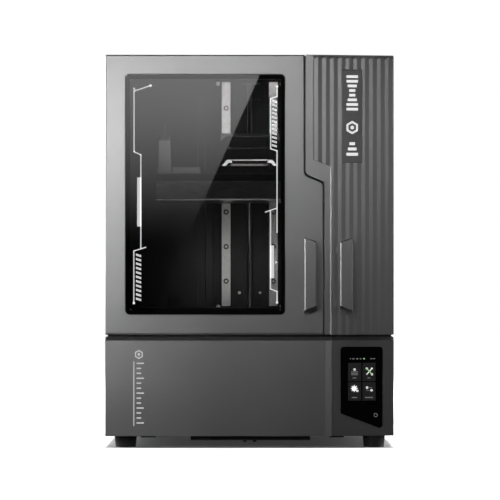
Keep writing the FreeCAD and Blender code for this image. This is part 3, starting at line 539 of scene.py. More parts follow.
def prisms(outlines, front, thickness):
    """Each outline of (x, z) points becomes a flat tile: its back lies at front(x) and its face stands
    thickness nearer the viewer, so y = front(x) - thickness. Returns points and faces of them all."""
    points = []
    faces = []
    start = 0
    for outline in outlines:
        flat = np.asarray(outline, float)
        area = np.sum(flat[:, 0] * np.roll(flat[:, 1], -1) - np.roll(flat[:, 0], -1) * flat[:, 1])
        if area < 0:
            flat = flat[::-1]
        count = len(flat)
        back = np.column_stack([flat[:, 0], front(flat[:, 0]), flat[:, 1]])
        face = back - np.array([0.0, thickness, 0.0])
        points.append(np.vstack([face, back]))
        ring = np.arange(count)
        after = (ring + 1) % count
        faces.append(list(start + ring))
        faces.append(list(start + count + ring[::-1]))
        sides = np.column_stack([ring, ring + count, after + count, after]) + start
        faces.extend(sides.tolist())
        start += 2 * count
    return np.vstack(points), faces


def add_tiles(name, outlines, front, thickness, material, body):
    """Flat tiles of one material as one piece."""
    points, faces = prisms(outlines, front, thickness)
    return add_mesh(name, points, faces, ink(material), body)


def tube_faces(rows, corners, closed=False):
    """Faces between neighbouring rings of points, with a cap on both ends unless the last ring joins the
    first."""
    row, column = np.meshgrid(np.arange(rows if closed else rows - 1), np.arange(corners), indexing="ij")
    next_row = (row + 1) % rows
    next_column = (column + 1) % corners
    quads = np.stack([row * corners + column, row * corners + next_column,
                      next_row * corners + next_column, next_row * corners + column], -1)
    faces = quads.reshape(-1, 4).tolist()
    if not closed:
        first = np.arange(corners)
        faces += [first[::-1].tolist(), ((rows - 1) * corners + first).tolist()]
    return faces


def stroke(ax, az, bx, bz, width):
    """A straight bar between two points: both ends moved half a width to either side."""
    along = np.array([bx - ax, bz - az])
    along = along / np.linalg.norm(along)
    across = np.array([-along[1], along[0]]) * width / 2.0
    cap = along * width * 0.35
    a = np.array([ax, az]) - cap
    b = np.array([bx, bz]) + cap
    return [a - across, b - across, b + across, a + across]


def line(points, width):
    """A bent line as one bar per run."""
    return [stroke(*points[i], *points[i + 1], width) for i in range(len(points) - 1)]


def disc(x, z, radius, corners=20, turn=0.0):
    """Points at equal angles round a centre."""
    angle = np.linspace(0.0, 2.0 * math.pi, corners, endpoint=False) + turn
    return np.column_stack([x + radius * np.cos(angle), z + radius * np.sin(angle)])


def hoop(x, z, radius, width, corners=24, turn=0.0):
    """A ring of short bars, each joining two neighbouring corners of a circle."""
    outer = disc(x, z, radius, corners, turn)
    inner = disc(x, z, radius - width, corners, turn)
    after = np.roll(np.arange(corners), -1)
    return [np.array([outer[i], outer[after[i]], inner[after[i]], inner[i]]) for i in range(corners)]


def rounded(x0, x1, z0, z1, radius, corners=7):
    """Points of an upright rectangle whose corners are quarter circles."""
    angle = np.linspace(0.0, math.pi / 2.0, corners)
    runs = []
    for k, (x, z) in enumerate(((x1 - radius, z1 - radius), (x0 + radius, z1 - radius),
                                (x0 + radius, z0 + radius), (x1 - radius, z0 + radius))):
        turn = angle + k * math.pi / 2.0
        runs.append(np.column_stack([x + radius * np.cos(turn), z + radius * np.sin(turn)]))
    return np.vstack(runs)


def border(x0, x1, z0, z1, radius, width):
    """Tiles between a rounded rectangle and the same rectangle drawn a width further in."""
    outer = rounded(x0, x1, z0, z1, radius)
    inner = rounded(x0 + width, x1 - width, z0 + width, z1 - width, max(radius - width, 0.0015))
    after = np.roll(np.arange(len(outer)), -1)
    return [np.array([outer[i], outer[after[i]], inner[after[i]], inner[i]]) for i in range(len(outer))]


def hatch(x0, x1, z0, z1, count, lean, fill=0.5):
    """Leaning bars, evenly spaced up a column."""
    pitch = (z1 - z0) / count
    low = z0 + pitch * np.arange(count)
    return [[(x0, z + lean), (x1, z), (x1, z + pitch * fill), (x0, z + lean + pitch * fill)] for z in low]


def turned(centres, axis, profile, hexagon_rows, corners=24):
    """Surfaces of revolution: each profile row (radius, height) is carried round the axis. In the rows
    marked as hexagon the radius is r cos(30) / cos(a mod 60 - 30), a six-sided hole."""
    profile = np.asarray(profile, float)
    angle = np.linspace(0.0, 2.0 * math.pi, corners, endpoint=False)
    six = np.cos(math.pi / 6.0) / np.cos(np.mod(angle, math.pi / 3.0) - math.pi / 6.0)
    radius = np.where(np.asarray(hexagon_rows)[:, None], profile[:, :1] * six[None, :], profile[:, :1])
    axis = np.asarray(axis, float)
    side = np.cross(axis, [0.0, 0.0, 1.0] if abs(axis[2]) < 0.9 else [1.0, 0.0, 0.0])
    side = side / np.linalg.norm(side)
    other = np.cross(axis, side)
    ring = (radius[:, :, None] * (np.cos(angle)[None, :, None] * side + np.sin(angle)[None, :, None] * other)
            + profile[:, 1][:, None, None] * axis)
    one = tube_faces(len(profile), corners)
    points = []
    faces = []
    for i, centre in enumerate(centres):
        points.append(ring.reshape(-1, 3) + np.asarray(centre, float))
        start = i * len(profile) * corners
        faces.extend([[start + index for index in face] for face in one])
    return np.vstack(points), faces


def ends(low, high, inset):
    """Two places set in from both ends of a span."""
    return low + inset, high - inset


def thirds(low, high, inset):
    """The same two places and the middle of the span."""
    return low + inset, (low + high) / 2.0, high - inset


def screw_heads(name, centres, axis, radius, height, body, material="dark_screw"):
    """Cap screws with rounded rims and hexagon sockets, standing on a surface along an axis."""
    profile = [(radius, 0.0), (radius, height * 0.72), (radius * 0.96, height * 0.9), (radius * 0.86, height),
               (radius * 0.52, height), (radius * 0.5, height * 0.94), (radius * 0.5, height * 0.35)]
    rows = [False, False, False, False, True, True, True]
    points, faces = turned(centres, axis, profile, rows)
    piece = add_mesh(name, points, faces, ink(material), body)
    smooth_by_angle(piece, 35.0)
    return piece


# ---- settings ------------------------------------------------------------------------------
class ResinPrinterSettings(bpy.types.PropertyGroup):
    """Values that the finishes, the prints and the stage share"""
    paint_level: bpy.props.FloatProperty(
        name="Paint level", description="Brightness of the satin door paint", default=0.46, min=0.0, max=1.0)
    paint_roughness: bpy.props.FloatProperty(
        name="Paint roughness", description="Sheen of the satin door paint", default=0.335, min=0.0, max=1.0)
    sheet_level: bpy.props.FloatProperty(
        name="Sheet level", description="Brightness of the powder coat", default=0.15, min=0.0, max=1.0)
    pane_density: bpy.props.FloatProperty(
        name="Pane density", description="How dark the window pane is", default=0.5, min=0.0, max=1.0)
    print_width: bpy.props.FloatProperty(
        name="Print width", description="Width of the printed window lines", default=0.0019, unit="LENGTH")
    ink_level: bpy.props.FloatProperty(
        name="Ink level", description="Brightness of the printed ink", default=0.75, min=0.0, max=1.0)
    thread_pitch: bpy.props.FloatProperty(
        name="Thread pitch", description="Distance between lead-screw ridges", default=0.0025, unit="LENGTH")
    camera_distance: bpy.props.FloatProperty(
        name="Camera distance", description="From the camera to the doors", default=4.2, unit="LENGTH")


def settings_of(context):
    return context.scene.resin_printer


INKS = {}


def ink(name):
    """Materials of the added pieces, each made once."""
    if name not in INKS:
        settings = bpy.context.scene.resin_printer
        makers = {
            # The print, badge and faint inks glow though they are no lamp: painted light. The lit and tile
            # inks are the display's own glow.
            "print_ink_painted_glow": lambda: white_ink("print_ink_painted_glow", settings.ink_level, 0.62),
            "badge_ink_painted_glow": lambda: white_ink("badge_ink_painted_glow", 0.85, 0.85),
            "faint_ink_painted_glow": lambda: white_ink("faint_ink_painted_glow", 0.32, 0.5),
            "plate_grey": lambda: zinc_case(settings),
            "lit_white": lambda: white_ink("lit_white", 0.8, 0.75),
            "lit_grey": lambda: white_ink("lit_grey", 0.35, 0.3),
            "tile_grey": lambda: white_ink("tile_grey", 0.02, 0.35),
            "lit_green": lambda: lit_green("lit_green", 0.6),
            "dark_screw": lambda: dark_screw(settings),
            "bright_steel": lambda: ground_steel(settings),
            "screw_steel": lambda: oiled_steel(settings),
            "soft_black": lambda: black_plastic(settings),
            "border_black": lambda: black_border(settings),
        }
        INKS[name] = makers[name]()
    return INKS[name]


# ---- operators -----------------------------------------------------------------------------
class RESINPRINTER_OT_finishes(bpy.types.Operator):
    """Gives every CAD node the finish of its material slot"""
    bl_idname = "resinprinter.finishes"
    bl_label = "Finishes"

    def execute(self, context):
        settings = settings_of(context)
        made = {slot: maker(settings) for slot, maker in SLOT_FINISHES.items()}
        special = {name: maker(settings) for name, maker in NODE_FINISHES.items()}
        for entry in frame["record"]["subparts"]:
            node = NODES[entry["node"]]
            node.data.materials.clear()
            node.data.materials.append(special.get(entry["node"], made[entry["material_slot"]]))
        return {"FINISHED"}


class RESINPRINTER_OT_window_print(bpy.types.Operator):
    """Printed guide lines, dots and hatching down both sides of the window pane"""
    bl_idname = "resinprinter.window_print"
    bl_label = "Window print"

    def execute(self, context):
        settings = settings_of(context)
        low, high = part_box("window_glass")
        width = settings.print_width

        def left(points):
            return [(low.x + x * MM, low.z + z * MM) for x, z in points]

        def right(points):
            return [(high.x - x * MM, low.z + z * MM) for x, z in points]

        shapes = line(left([(41, 374), (14, 365), (14, 266), (25, 261), (25, 108)]), width)
        shapes += line(left([(33, 110), (13.6, 104), (13.6, 19)]), width)
        shapes += [left([(19, 144), (25.4, 144), (25.4, 224), (19, 224)])]
        shapes += [left([(12.4, 367), (16.6, 367.6), (13.2, 371.5)])]
        shapes += hatch(low.x + 17 * MM, low.x + 25.6 * MM, low.z + 22 * MM, low.z + 101 * MM, 11, 2.6 * MM)
        bend = [(13.1, 373), (13.1, 356), (23.4, 353), (23.4, 271), (13.1, 267.5), (13.1, 134)]
        shapes += line(right(bend), width)
        shapes += line(right([(32, 167.5), (13.1, 174)]), width)
        shapes += line(right([(23.7, 170), (23.7, 42), (13.1, 38), (13.1, 20)]), width)
        shapes += [right([(23.9, 60), (18, 60), (18, 113), (23.9, 113)])]
        shapes += [right([(15.6, 83.4), (12.2, 85.7), (15.6, 88)])]
        shapes += hatch(high.x - 21.6 * MM, high.x - 13.4 * MM, low.z + 273 * MM, low.z + 352 * MM, 12,
                        2.4 * MM)
        for x, z in left([(41, 374), (13.6, 19)]) + right([(13.1, 373), (13.1, 20)]):
            shapes.append(disc(x, z, 2.1 * MM))
        add_tiles("window_print", shapes, depth_at(low.y), 0.1 * MM, "print_ink_painted_glow", "main_door")
        edge = 0.3 * MM
        rim = border(low.x + edge, high.x - edge, low.z + edge, high.z - edge, 7 * MM, 6.9 * MM)
        add_tiles("window_border", rim, depth_at(high.y - 0.2 * MM), 0.2 * MM, "border_black", "main_door")
        return {"FINISHED"}


class RESINPRINTER_OT_base_print(bpy.types.Operator):
    """Plain printed hexagon, rule and ticks on the left of the base"""
    bl_idname = "resinprinter.base_print"
    bl_label = "Base print"

    def execute(self, context):
        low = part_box("base_front")[0]
        flush_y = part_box("main_door")[0].y
        x0 = low.x + 45.5 * MM
        mark = (x0 + 9.5 * MM, low.z + 133.5 * MM)
        shapes = hoop(*mark, 7.4 * MM, 2.0 * MM, 6, POINT_UP) + [disc(*mark, 2.4 * MM, 6, POINT_UP)]
        shapes += line([(x0 + 1.4 * MM, low.z + 122 * MM), (x0 + 1.4 * MM, low.z + 17 * MM)], 1.3 * MM)
        for i in range(13):
            length = 6.0 if i % 3 else 10.5
            z = low.z + (119.0 - 8.1 * i) * MM
            shapes += line([(x0 + 6.4 * MM, z), (x0 + (6.4 + length) * MM, z)], 2.1 * MM)
        add_tiles("base_print", shapes, depth_at(flush_y), 0.1 * MM, "print_ink_painted_glow", "frame")
        return {"FINISHED"}


class RESINPRINTER_OT_badge_marks(bpy.types.Operator):
    """Plain stacked bars and a hexagon on the sunken plate of the side door"""
    bl_idname = "resinprinter.badge_marks"
    bl_label = "Badge marks"

    def execute(self, context):
        low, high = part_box("badge_blank")
        middle = (low.x + high.x) / 2.0
        bars = [(reach, high.z - (13.0 + 7.6 * i) * MM, 4.2)
                for i, reach in enumerate((9.5, 9.5, 7.5, 5.0, 5.0, 7.5, 9.5, 9.5))]
        bars += [(reach, low.z + (11.0 + 8.6 * i) * MM, 4.6) for i, reach in enumerate((9.5, 7.0, 4.5))]
        shapes = [tile(middle - reach * MM, middle + reach * MM, z, z + height * MM)
                  for reach, z, height in bars]
        mark = (middle, low.z + 57.0 * MM)
        shapes += hoop(*mark, 10.8 * MM, 3.4 * MM, 6, POINT_UP) + [disc(*mark, 3.2 * MM, 6, POINT_UP)]
        add_tiles("badge_marks", shapes, side_face(low), 0.4 * MM, "badge_ink_painted_glow", "side_door")
        return {"FINISHED"}


class RESINPRINTER_OT_control_screen(bpy.types.Operator):
    """Lit tiles, plain icons and dashes of the control screen"""
    bl_idname = "resinprinter.control_screen"
    bl_label = "Control screen"

    def execute(self, context):
        low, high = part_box("control_glass")

        def at(x, z):
            return low.x + x * MM, high.z - z * MM

        def rect(x0, x1, z0, z1):
            return tile(*[place for pair in zip(at(x0, z0), at(x1, z1)) for place in pair])

        tiles = [rect(x, x + 21.6, z, z + 30.2) for x in (11.8, 35.4) for z in (25.6, 57.2)]
        grey_marks = [rect(x, x + w, 18.0, 19.8) for x, w in ((15, 1.4), (19, 3.2), (25, 3.4), (31, 2.6))]
        grey_marks += [rect(48.5, 51, 18.0, 19.8), rect(52.4, 56, 18.2, 19.6)]
        green = [disc(*at(38.0, 18.9), 1.3 * MM, 12)]
        white = [disc(*at(22.4, 36.6), 2.2 * MM, 14)]
        grey_marks += [rect(17.0, 28.0, z, z + 1.3) for z in (39.6, 42.0, 44.4)]
        ax, az = at(42.6, 35.0)
        bx, bz = at(51.0, 44.4)
        white += [stroke(ax, bz, bx, az, 1.9 * MM)]
        green += [stroke(ax, az, bx, bz, 1.7 * MM)]
        white += [disc(ax, az, 1.9 * MM, 12), disc(bx, bz, 2.0 * MM, 12), disc(bx, az, 1.5 * MM, 12)]
        cx, cz = at(22.0, 67.6)
        teeth = [stroke(cx, cz, cx + 5.0 * MM * math.cos(a), cz + 5.0 * MM * math.sin(a), 1.9 * MM)
                 for a in np.arange(8) * math.pi / 4.0]
        white += teeth + hoop(cx, cz, 4.0 * MM, 2.2 * MM, 18) + [disc(*at(27.2, 71.6), 2.0 * MM, 10)]
        white += [disc(*at(43.0, 66.2), 2.1 * MM, 14), disc(*at(50.4, 70.6), 2.1 * MM, 14)]
        grey_marks += [rect(45.6, 51.6, 65.8, 66.7), rect(41.6, 48.0, 70.2, 71.1)]
        for x, z, w in ((22.4, 49.6, 6.0), (46.0, 49.6, 4.6), (22.4, 81.6, 9.0), (46.0, 81.6, 13.0)):
            grey_marks += [rect(x - w / 2.0, x + w / 2.0, z, z + 1.5)]
        grey_marks += hoop(*at(57.2, 111.4), 3.2 * MM, 0.9 * MM, 22)
        for name, shapes, material, lift in (("screen_tiles", tiles, "tile_grey", 0.05),
                                             ("screen_marks", white, "lit_white", 0.16),
                                             ("screen_labels", grey_marks, "lit_grey", 0.13),
                                             ("screen_green", green, "lit_green", 0.19)):
            add_tiles(name, shapes, side_face(low), lift * MM, material, "frame")
        return {"FINISHED"}


class RESINPRINTER_OT_arm_marks(bpy.types.Operator):
    """Chevron ends, a rule and fine hatching on the arm's front plate"""
    bl_idname = "resinprinter.arm_marks"
    bl_label = "Arm marks"

    def execute(self, context):
        low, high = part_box("arm_cover")
        middle = (low.x + high.x) / 2.0
        floor = low.z + 13.2 * MM

        def from_middle(points):
            return [(middle + x * MM, floor + z * MM) for x, z in points]

        chevron = ((46, 0), (40, 0), (35.5, 5), (29, 5), (31, 10), (38, 10))
        white = line(from_middle([(-30, 9.6), (30, 9.6)]), 1.1 * MM)
        white += [from_middle([(side * x, z) for x, z in chevron]) for side in (-1.0, 1.0)]
        fine = [from_middle([(x - 0.9, 0.2), (x + 0.6, 0.2), (x + 2.6, 3.4), (x + 1.1, 3.4)])
                for x in np.arange(-31.0, 30.5, 2.6)]
        front = depth_at(low.y)
        add_tiles("arm_marks", white, front, 0.1 * MM, "print_ink_painted_glow", "lift_carriage")
        add_tiles("arm_hatching", fine, front, 0.1 * MM, "faint_ink_painted_glow", "lift_carriage")
        return {"FINISHED"}


class RESINPRINTER_OT_lead_thread(bpy.types.Operator):
    """Threaded lead screw in place of the plain bar"""
    bl_idname = "resinprinter.lead_thread"
    bl_label = "Lead-screw thread"

    def execute(self, context):
        settings = settings_of(context)
        low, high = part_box("lead_screw")
        middle = np.array([(low.x + high.x) / 2.0, (low.y + high.y) / 2.0])
        radius = (high.x - low.x) / 2.0
        pitch = settings.thread_pitch
        starts = 4
        corners = 20
        rings_per_ridge = 5.0
        groove_depth = 0.8 * MM
        plain_low = 28 * MM
        plain_high = 12 * MM
        rows = int((high.z - low.z) / pitch * rings_per_ridge)
        # Radius at angle a and height z: the full radius less a depth that rises and falls once per pitch,
        # its phase (z / pitch - starts * a / 360 degrees) turned into a flat-topped wave. The depth fades to
        # nothing over a millimetre at both plain ends.
        z = np.linspace(low.z, high.z, rows)[:, None]
        angle = np.linspace(0.0, 2.0 * math.pi, corners, endpoint=False)[None, :]
        phase = np.mod(z / pitch - starts * angle / (2.0 * math.pi), 1.0)
        groove = np.clip((np.abs(phase - 0.5) - 0.12) / 0.2, 0.0, 1.0)
        plain = np.clip(np.maximum(low.z + plain_low - z, z - high.z + plain_high) / MM, 0.0, 1.0)
        reach = radius - groove_depth * (1.0 - groove) * (1.0 - plain)
        points = np.stack([middle[0] + reach * np.cos(angle), middle[1] + reach * np.sin(angle),
                           np.broadcast_to(z, reach.shape)], -1).reshape(-1, 3)
        piece = add_mesh("lead_thread", points, tube_faces(rows, corners), ink("screw_steel"), "lead_screw")
        smooth_by_angle(piece, 50.0)
        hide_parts("lead_screw")
        return {"FINISHED"}


class RESINPRINTER_OT_fasteners(bpy.types.Operator):
    """Cap screws on the side, top and rear sheets, the flange and the tower"""
    bl_idname = "resinprinter.fasteners"
    bl_label = "Fasteners"

    def execute(self, context):
        sheet_head = 3.1 * MM
        inset = 14 * MM
        low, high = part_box("side_panels")
        for name, x, direction, setback in (("screws_left", low.x + 1.2 * MM, -1.0, inset),
                                            ("screws_right", high.x - 1.2 * MM, 1.0, 36 * MM)):
            depths = (low.y + setback, (low.y + high.y) / 2.0 + 10 * MM, high.y - inset)
            centres = [(x, y, z) for y in depths for z in thirds(low.z, high.z, 16 * MM)]
            screw_heads(name, centres, (direction, 0.0, 0.0), sheet_head, 1.2 * MM, "frame")

        low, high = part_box("rear_panel")
        seat = high.y - 0.4 * MM
        centres = [(x, seat, z) for x in thirds(low.x, high.x, inset) for z in thirds(low.z, high.z, 16 * MM)]
        low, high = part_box("rear_base_panel")
        centres += [(x, seat, z) for x in ends(low.x, high.x, inset) for z in ends(low.z, high.z, inset)]
        screw_heads("screws_rear", centres, (0.0, 1.0, 0.0), sheet_head, 1.6 * MM, "frame")

        low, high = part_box("top_panel")
        centres = [(x, y, high.z - 1.6 * MM) for x in ends(low.x, high.x, 12 * MM)
                   for y in (low.y + 50 * MM, high.y - inset)]
        screw_heads("screws_top", centres, (0.0, 0.0, 1.0), sheet_head, 1.6 * MM, "frame")

        low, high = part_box("plate_flange")
        across = ends(low.x, high.x, 58 * MM) + ends(low.x, high.x, 94 * MM)
        centres = [(x, y, high.z) for x in sorted(across) for y in ends(low.y, high.y, 30 * MM)]
        screw_heads("screws_flange", centres, (0.0, 0.0, 1.0), 4.5 * MM, 4.5 * MM, "lift_carriage")

        low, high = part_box("tower_plate")
        forwards = (0.0, -1.0, 0.0)
        centres = [(x, low.y, low.z + 69 * MM) for x in (-18 * MM, 18 * MM)]
        screw_heads("screws_tower_low", centres, forwards, 2.6 * MM, 2.6 * MM, "frame", "bright_steel")
        centres = [(x, low.y, high.z - 37 * MM) for x in (10 * MM, 16 * MM)]
        screw_heads("screws_tower_high", centres, forwards, 1.6 * MM, 1.5 * MM, "frame")
        return {"FINISHED"}


class RESINPRINTER_OT_carriage_details(bpy.types.Operator):
    """Carriage end seals, dark rings round the rail screws as painted shade, and a bright strip along the
    plate's lower edge as a painted highlight
    """
    bl_idname = "resinprinter.carriage_details"
    bl_label = "Carriage details"

    def execute(self, context):
        low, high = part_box("bearing_blocks")
        rail_low, rail_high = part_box("rails")
        rail_x = rail_high.x - 7.5 * MM
        half = 16.3 * MM
        seal_height = 3.2 * MM
        seal_levels = (0.4 * MM, 26.4 * MM, 39.4 * MM, 66.4 * MM)
        # Each seal is a thin plate across the front of its carriage, one at either end.
        seals = [tile(x - half, x + half, low.z + z, low.z + z + seal_height)
                 for x in (-rail_x, rail_x) for z in seal_levels]
        add_tiles("carriage_seals", seals, depth_at(low.y), 0.6 * MM, "soft_black", "lift_carriage")

        first_screw = 273 * MM
        screw_pitch = 60 * MM
        # Dark rings round each rail screw hole: painted shade of the holes.
        rings = []
        for x in (-rail_x, rail_x):
            for k in range(6):
                rings += hoop(x, first_screw + screw_pitch * k, 4.6 * MM, 2.4 * MM)
        add_tiles("rail_hole_shade_rings", rings, depth_at(rail_low.y), 0.12 * MM, "soft_black", "frame")

        low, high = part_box("build_plate")
        # A bright steel strip along the plate's lower front edge: a painted highlight.
        strip = [tile(low.x, high.x, low.z, low.z + 1.4 * MM)]
        add_tiles("plate_edge_highlight", strip, depth_at(low.y), 0.1 * MM, "bright_steel", "lift_carriage")
        return {"FINISHED"}


class RESINPRINTER_OT_rear_fittings(bpy.types.Operator):
    """Wire finger guard over the exhaust fan and a blank rating plate"""
    bl_idname = "resinprinter.rear_fittings"
    bl_label = "Rear fittings"

    def execute(self, context):
        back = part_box("rear_panel")[1].y
        fan_low, fan_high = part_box("exhaust_fan_rotor")
        centre_x = (fan_low.x + fan_high.x) / 2.0
        centre_z = (fan_low.z + fan_high.z) / 2.0

        # Each wire is a ring: a small circle of radius w carried round a large circle of radius R.
        wire = 0.7 * MM
        around_count = 48
        small_count = 8
        around = np.linspace(0.0, 2.0 * math.pi, around_count, endpoint=False)[:, None]
        small = np.linspace(0.0, 2.0 * math.pi, small_count, endpoint=False)[None, :]
        depth = np.broadcast_to(back + wire + wire * np.sin(small), (around_count, small_count))
        one = np.asarray(tube_faces(around_count, small_count, closed=True))
        points = []
        faces = []
        for i, ring in enumerate((8 * MM, 16 * MM, 24 * MM, 32 * MM)):
            reach = ring + wire * np.cos(small)
            across = centre_x + reach * np.cos(around)
            up = centre_z + reach * np.sin(around)
            points.append(np.stack([across, depth, up], -1).reshape(-1, 3))
            faces.extend((one + i * around_count * small_count).tolist())
        add_mesh("fan_guard", np.vstack(points), faces, ink("bright_steel"), "frame")

        plate = [tile(85 * MM, 165 * MM, 45 * MM, 85 * MM)]
        add_tiles("blank_rating_plate", plate, depth_at(back + 0.3 * MM), 0.3 * MM, "plate_grey", "frame")
        return {"FINISHED"}


class RESINPRINTER_OT_stage(bpy.types.Operator):
    """Pale floor and walls, soft lamps, a card for the pane to mirror, and the camera"""
    bl_idname = "resinprinter.stage"
    bl_label = "Stage"

    def area(self, name, place, aim, size, power):
        """A rectangular lamp that points at a place and is itself out of the picture."""
        lamp = bpy.data.lights.new(name, "AREA")
        lamp.shape = "RECTANGLE"
        lamp.size, lamp.size_y = size
        lamp.energy = power
        thing = bpy.data.objects.new(name, lamp)
        bpy.context.scene.collection.objects.link(thing)
        thing.location = place
        direction = Vector(aim) - Vector(place)
        thing.rotation_euler = direction.to_track_quat("-Z", "Y").to_euler()
        thing.visible_camera = False
        return thing

    def sheet(self, name, points, material, glossy):
        """A flat piece of the stage that lights nothing; glossy says whether surfaces mirror it."""
        mesh = bpy.data.meshes.new(name)
        mesh.from_pydata(points, [], [(0, 1, 2, 3)])
        mesh.materials.append(material)
        piece = bpy.data.objects.new(name, mesh)
        bpy.context.scene.collection.objects.link(piece)
        piece.visible_glossy = glossy
        piece.visible_diffuse = False
        return piece

    def execute(self, context):
        settings = settings_of(context)
        scene = context.scene
        scene.view_settings.view_transform = "Standard"
        world = bpy.data.worlds.new("studio")
        world.use_nodes = True
        background = world.node_tree.nodes["Background"]
        background.inputs["Color"].default_value = (1.0, 1.0, 1.0, 1.0)
        background.inputs["Strength"].default_value = 0.012
        scene.world = world

        floor = Finish("pale_floor")
        patch = floor.noise(3.0, 3.0, 0.5)
        low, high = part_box("base_front")
        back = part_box("rear_base_panel")[1].y
        middle = (low.y + back) / 2.0
        beside = floor.axis("X").absolute() - high.x
        beyond = (floor.axis("Y") - middle).absolute() - (back - low.y) / 2.0
        away = floor.greatest(beside, beyond)
        # The floor glows evenly, except for a painted shadow: dark under the machine and a shade dimmer just
        # beside it.
        light = away.smooth(-0.003, 0.004) * 0.9 + away.smooth(0.0, 0.1) * 0.12
        glow = floor.blend(light, grey(0.035), grey(1.0))
        colour = floor.blend(patch, grey(0.86), grey(0.88))
        floor.surface(Base_Color=colour, Roughness=0.8, Emission_Color=glow, Emission_Strength=1.0)
        reach = 12.0
        wall_height = 14.0
        corners = [(-reach, reach), (reach, reach), (reach, -reach), (-reach, -reach)]
        self.sheet("stage_floor", [(x, y, 0.0) for x, y in reversed(corners)], floor.material, False)
        wall = Finish("pale_wall")
        wall.surface(Base_Color=grey(0.9), Roughness=0.9, Emission_Color=grey(1.0), Emission_Strength=1.0)
        for i, (x, y) in enumerate(corners):
            x1, y1 = corners[(i + 1) % 4]
            points = [(x, y, 0.0), (x1, y1, 0.0), (x1, y1, wall_height), (x, y, wall_height)]
            wall_piece = self.sheet("stage_wall_%d" % (i + 1), points, wall.material, False)
            wall_piece.visible_shadow = False

        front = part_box("main_door")[0].y
        near = front - 1.5
        small = (0.16, 0.16)
        # The front lamps shade the doors. The pane is left out of them, so that it mirrors no lamp.
        without_pane = bpy.data.collections.new("all_but_the_pane")
        without_pane.objects.link(NODES["window_glass"])
        without_pane.collection_objects[0].light_linking.link_state = "EXCLUDE"
        for name, place, aim, size, power in (
                ("key_left", (-0.386, near, 0.66), (-0.186, front, 0.56), small, 1.04),
                ("key_low", (-0.62, near, 0.38), (-0.42, front, 0.28), small, 1.8),
                ("key_top", (0.0, near, 0.84), (0.1, front, 0.74), small, 0.55),
                ("key_right", (0.20, near, 0.63), (0.15, front, 0.57), (0.14, 0.14), 0.17),
                ("right_soft", (1.7, -1.4, 0.40), (0.1, front, 0.30), (0.7, 0.9), 1.0),
                ("flute_soft", (1.0, -1.75, 0.62), (0.17, front, 0.52), (0.3, 0.4), 0.22)):
            self.area(name, place, aim, size, power).light_linking.receiver_collection = without_pane
        for name, place, aim, size, power in (
                ("overhead", (0.0, 1.9, 2.9), (0.0, 0.6, 0.0), (4.2, 2.4), 34.0),
                ("back_soft", (0.7, 2.6, 1.4), (0.0, 0.2, 0.35), (1.8, 1.6), 55.0),
                ("back_left", (-1.6, 2.0, 0.9), (0.0, 0.2, 0.35), (1.0, 1.4), 30.0),
                ("left_side", (-2.4, 0.35, 1.0), (0.0, 0.1, 0.35), (1.2, 1.6), 40.0),
                ("right_side", (2.4, 0.35, 1.1), (0.0, 0.1, 0.35), (1.2, 1.6), 40.0)):
            self.area(name, place, aim, size, power)

        # Lamps inside the chamber, set out from the light bar under its ceiling.
        low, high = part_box("chamber_light")
        wall_y = low.y + 0.17
        inside = self.area("chamber_lamp", ((low.x + high.x) / 2.0, low.y - 0.05, low.z - 0.002),
                           (0.0, low.y + 0.15, low.z - 0.33), (0.28, 0.01), 4.0)
        inside.visible_glossy = False
        self.area("chamber_fill", (-0.02, low.y - 0.03, 0.30), (0.0, wall_y, 0.33), (0.12, 0.06), 0.2)
        self.area("chamber_top_fill", (-0.03, low.y - 0.05, low.z - 0.075), (0.0, wall_y, low.z - 0.10),
                  (0.08, 0.03), 0.035)

        # A leaning card that only the pane mirrors, brighter towards its top.
        card = Finish("reflected_card")
        glow = card.blend(card.axis("Z").smooth(0.36, 0.82), grey(0.0), grey(1.0))
        shader = card.node("ShaderNodeEmission", {}, {"Color": glow, "Strength": 1.25})
        card.tree.links.new(shader.outputs[0], card.output.inputs["Surface"])
        depth = front - 2.0
        outline = ((-0.60, 0.20), (-0.233, 0.20), (0.057, 0.85), (-0.60, 0.85))
        card_piece = self.sheet("window_card", [(x, depth, z) for x, z in outline], card.material, True)
        card_piece.visible_camera = False
        card_piece.visible_shadow = False

        # The camera looks level. Its lens takes in this width at the doors, about this middle height.
        distance = settings.camera_distance
        picture_width = 0.816
        picture_middle = 0.323
        eye = 0.258
        camera = bpy.data.cameras.new("camera")
        camera.sensor_width = 36.0
        camera.lens = camera.sensor_width * distance / picture_width
        camera.shift_y = (picture_middle - eye) / picture_width
        camera.shift_x = 0.0005
        camera.clip_end = 50.0
        thing = bpy.data.objects.new("camera", camera)
        scene.collection.objects.link(thing)
        thing.location = (0.0, front - distance, eye)
        thing.rotation_euler = (math.pi / 2.0, 0.0, 0.0)
        scene.camera = thing
        return {"FINISHED"}


class RESINPRINTER_PT_panel(bpy.types.Panel):
    """Lists the printer's settings and pieces"""
    bl_idname = "RESINPRINTER_PT_panel"
    bl_label = "Resin Printer"
    bl_space_type = "VIEW_3D"
    bl_region_type = "UI"
    bl_category = "Resin Printer"

    def draw(self, context):
        settings = settings_of(context)
        for name in ResinPrinterSettings.__annotations__:
            self.layout.prop(settings, name)
        for operator in OPERATORS:
            self.layout.operator(operator.bl_idname)


OPERATORS = (
    RESINPRINTER_OT_finishes,
    RESINPRINTER_OT_window_print,
    RESINPRINTER_OT_base_print,
    RESINPRINTER_OT_badge_marks,
    RESINPRINTER_OT_control_screen,
    RESINPRINTER_OT_arm_marks,
    RESINPRINTER_OT_lead_thread,
    RESINPRINTER_OT_fasteners,
    RESINPRINTER_OT_carriage_details,
    RESINPRINTER_OT_rear_fittings,
    RESINPRINTER_OT_stage,
)
CLASSES = (ResinPrinterSettings,) + OPERATORS + (RESINPRINTER_PT_panel,)


def register():
    for item in CLASSES:
        bpy.utils.register_class(item)
    bpy.types.Scene.resin_printer = bpy.props.PointerProperty(type=ResinPrinterSettings)


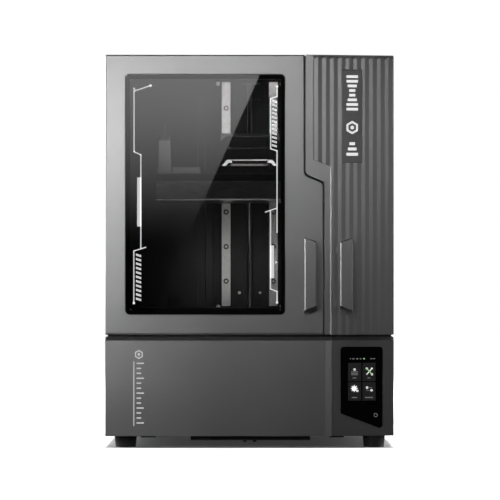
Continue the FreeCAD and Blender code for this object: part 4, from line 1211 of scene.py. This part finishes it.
def unregister():
    del bpy.types.Scene.resin_printer
    for item in reversed(CLASSES):
        bpy.utils.unregister_class(item)


def main():
    register()
    for operator in OPERATORS:
        group, name = operator.bl_idname.split(".")
        getattr(getattr(bpy.ops, group), name)()


if __name__ == "__main__":
    main()
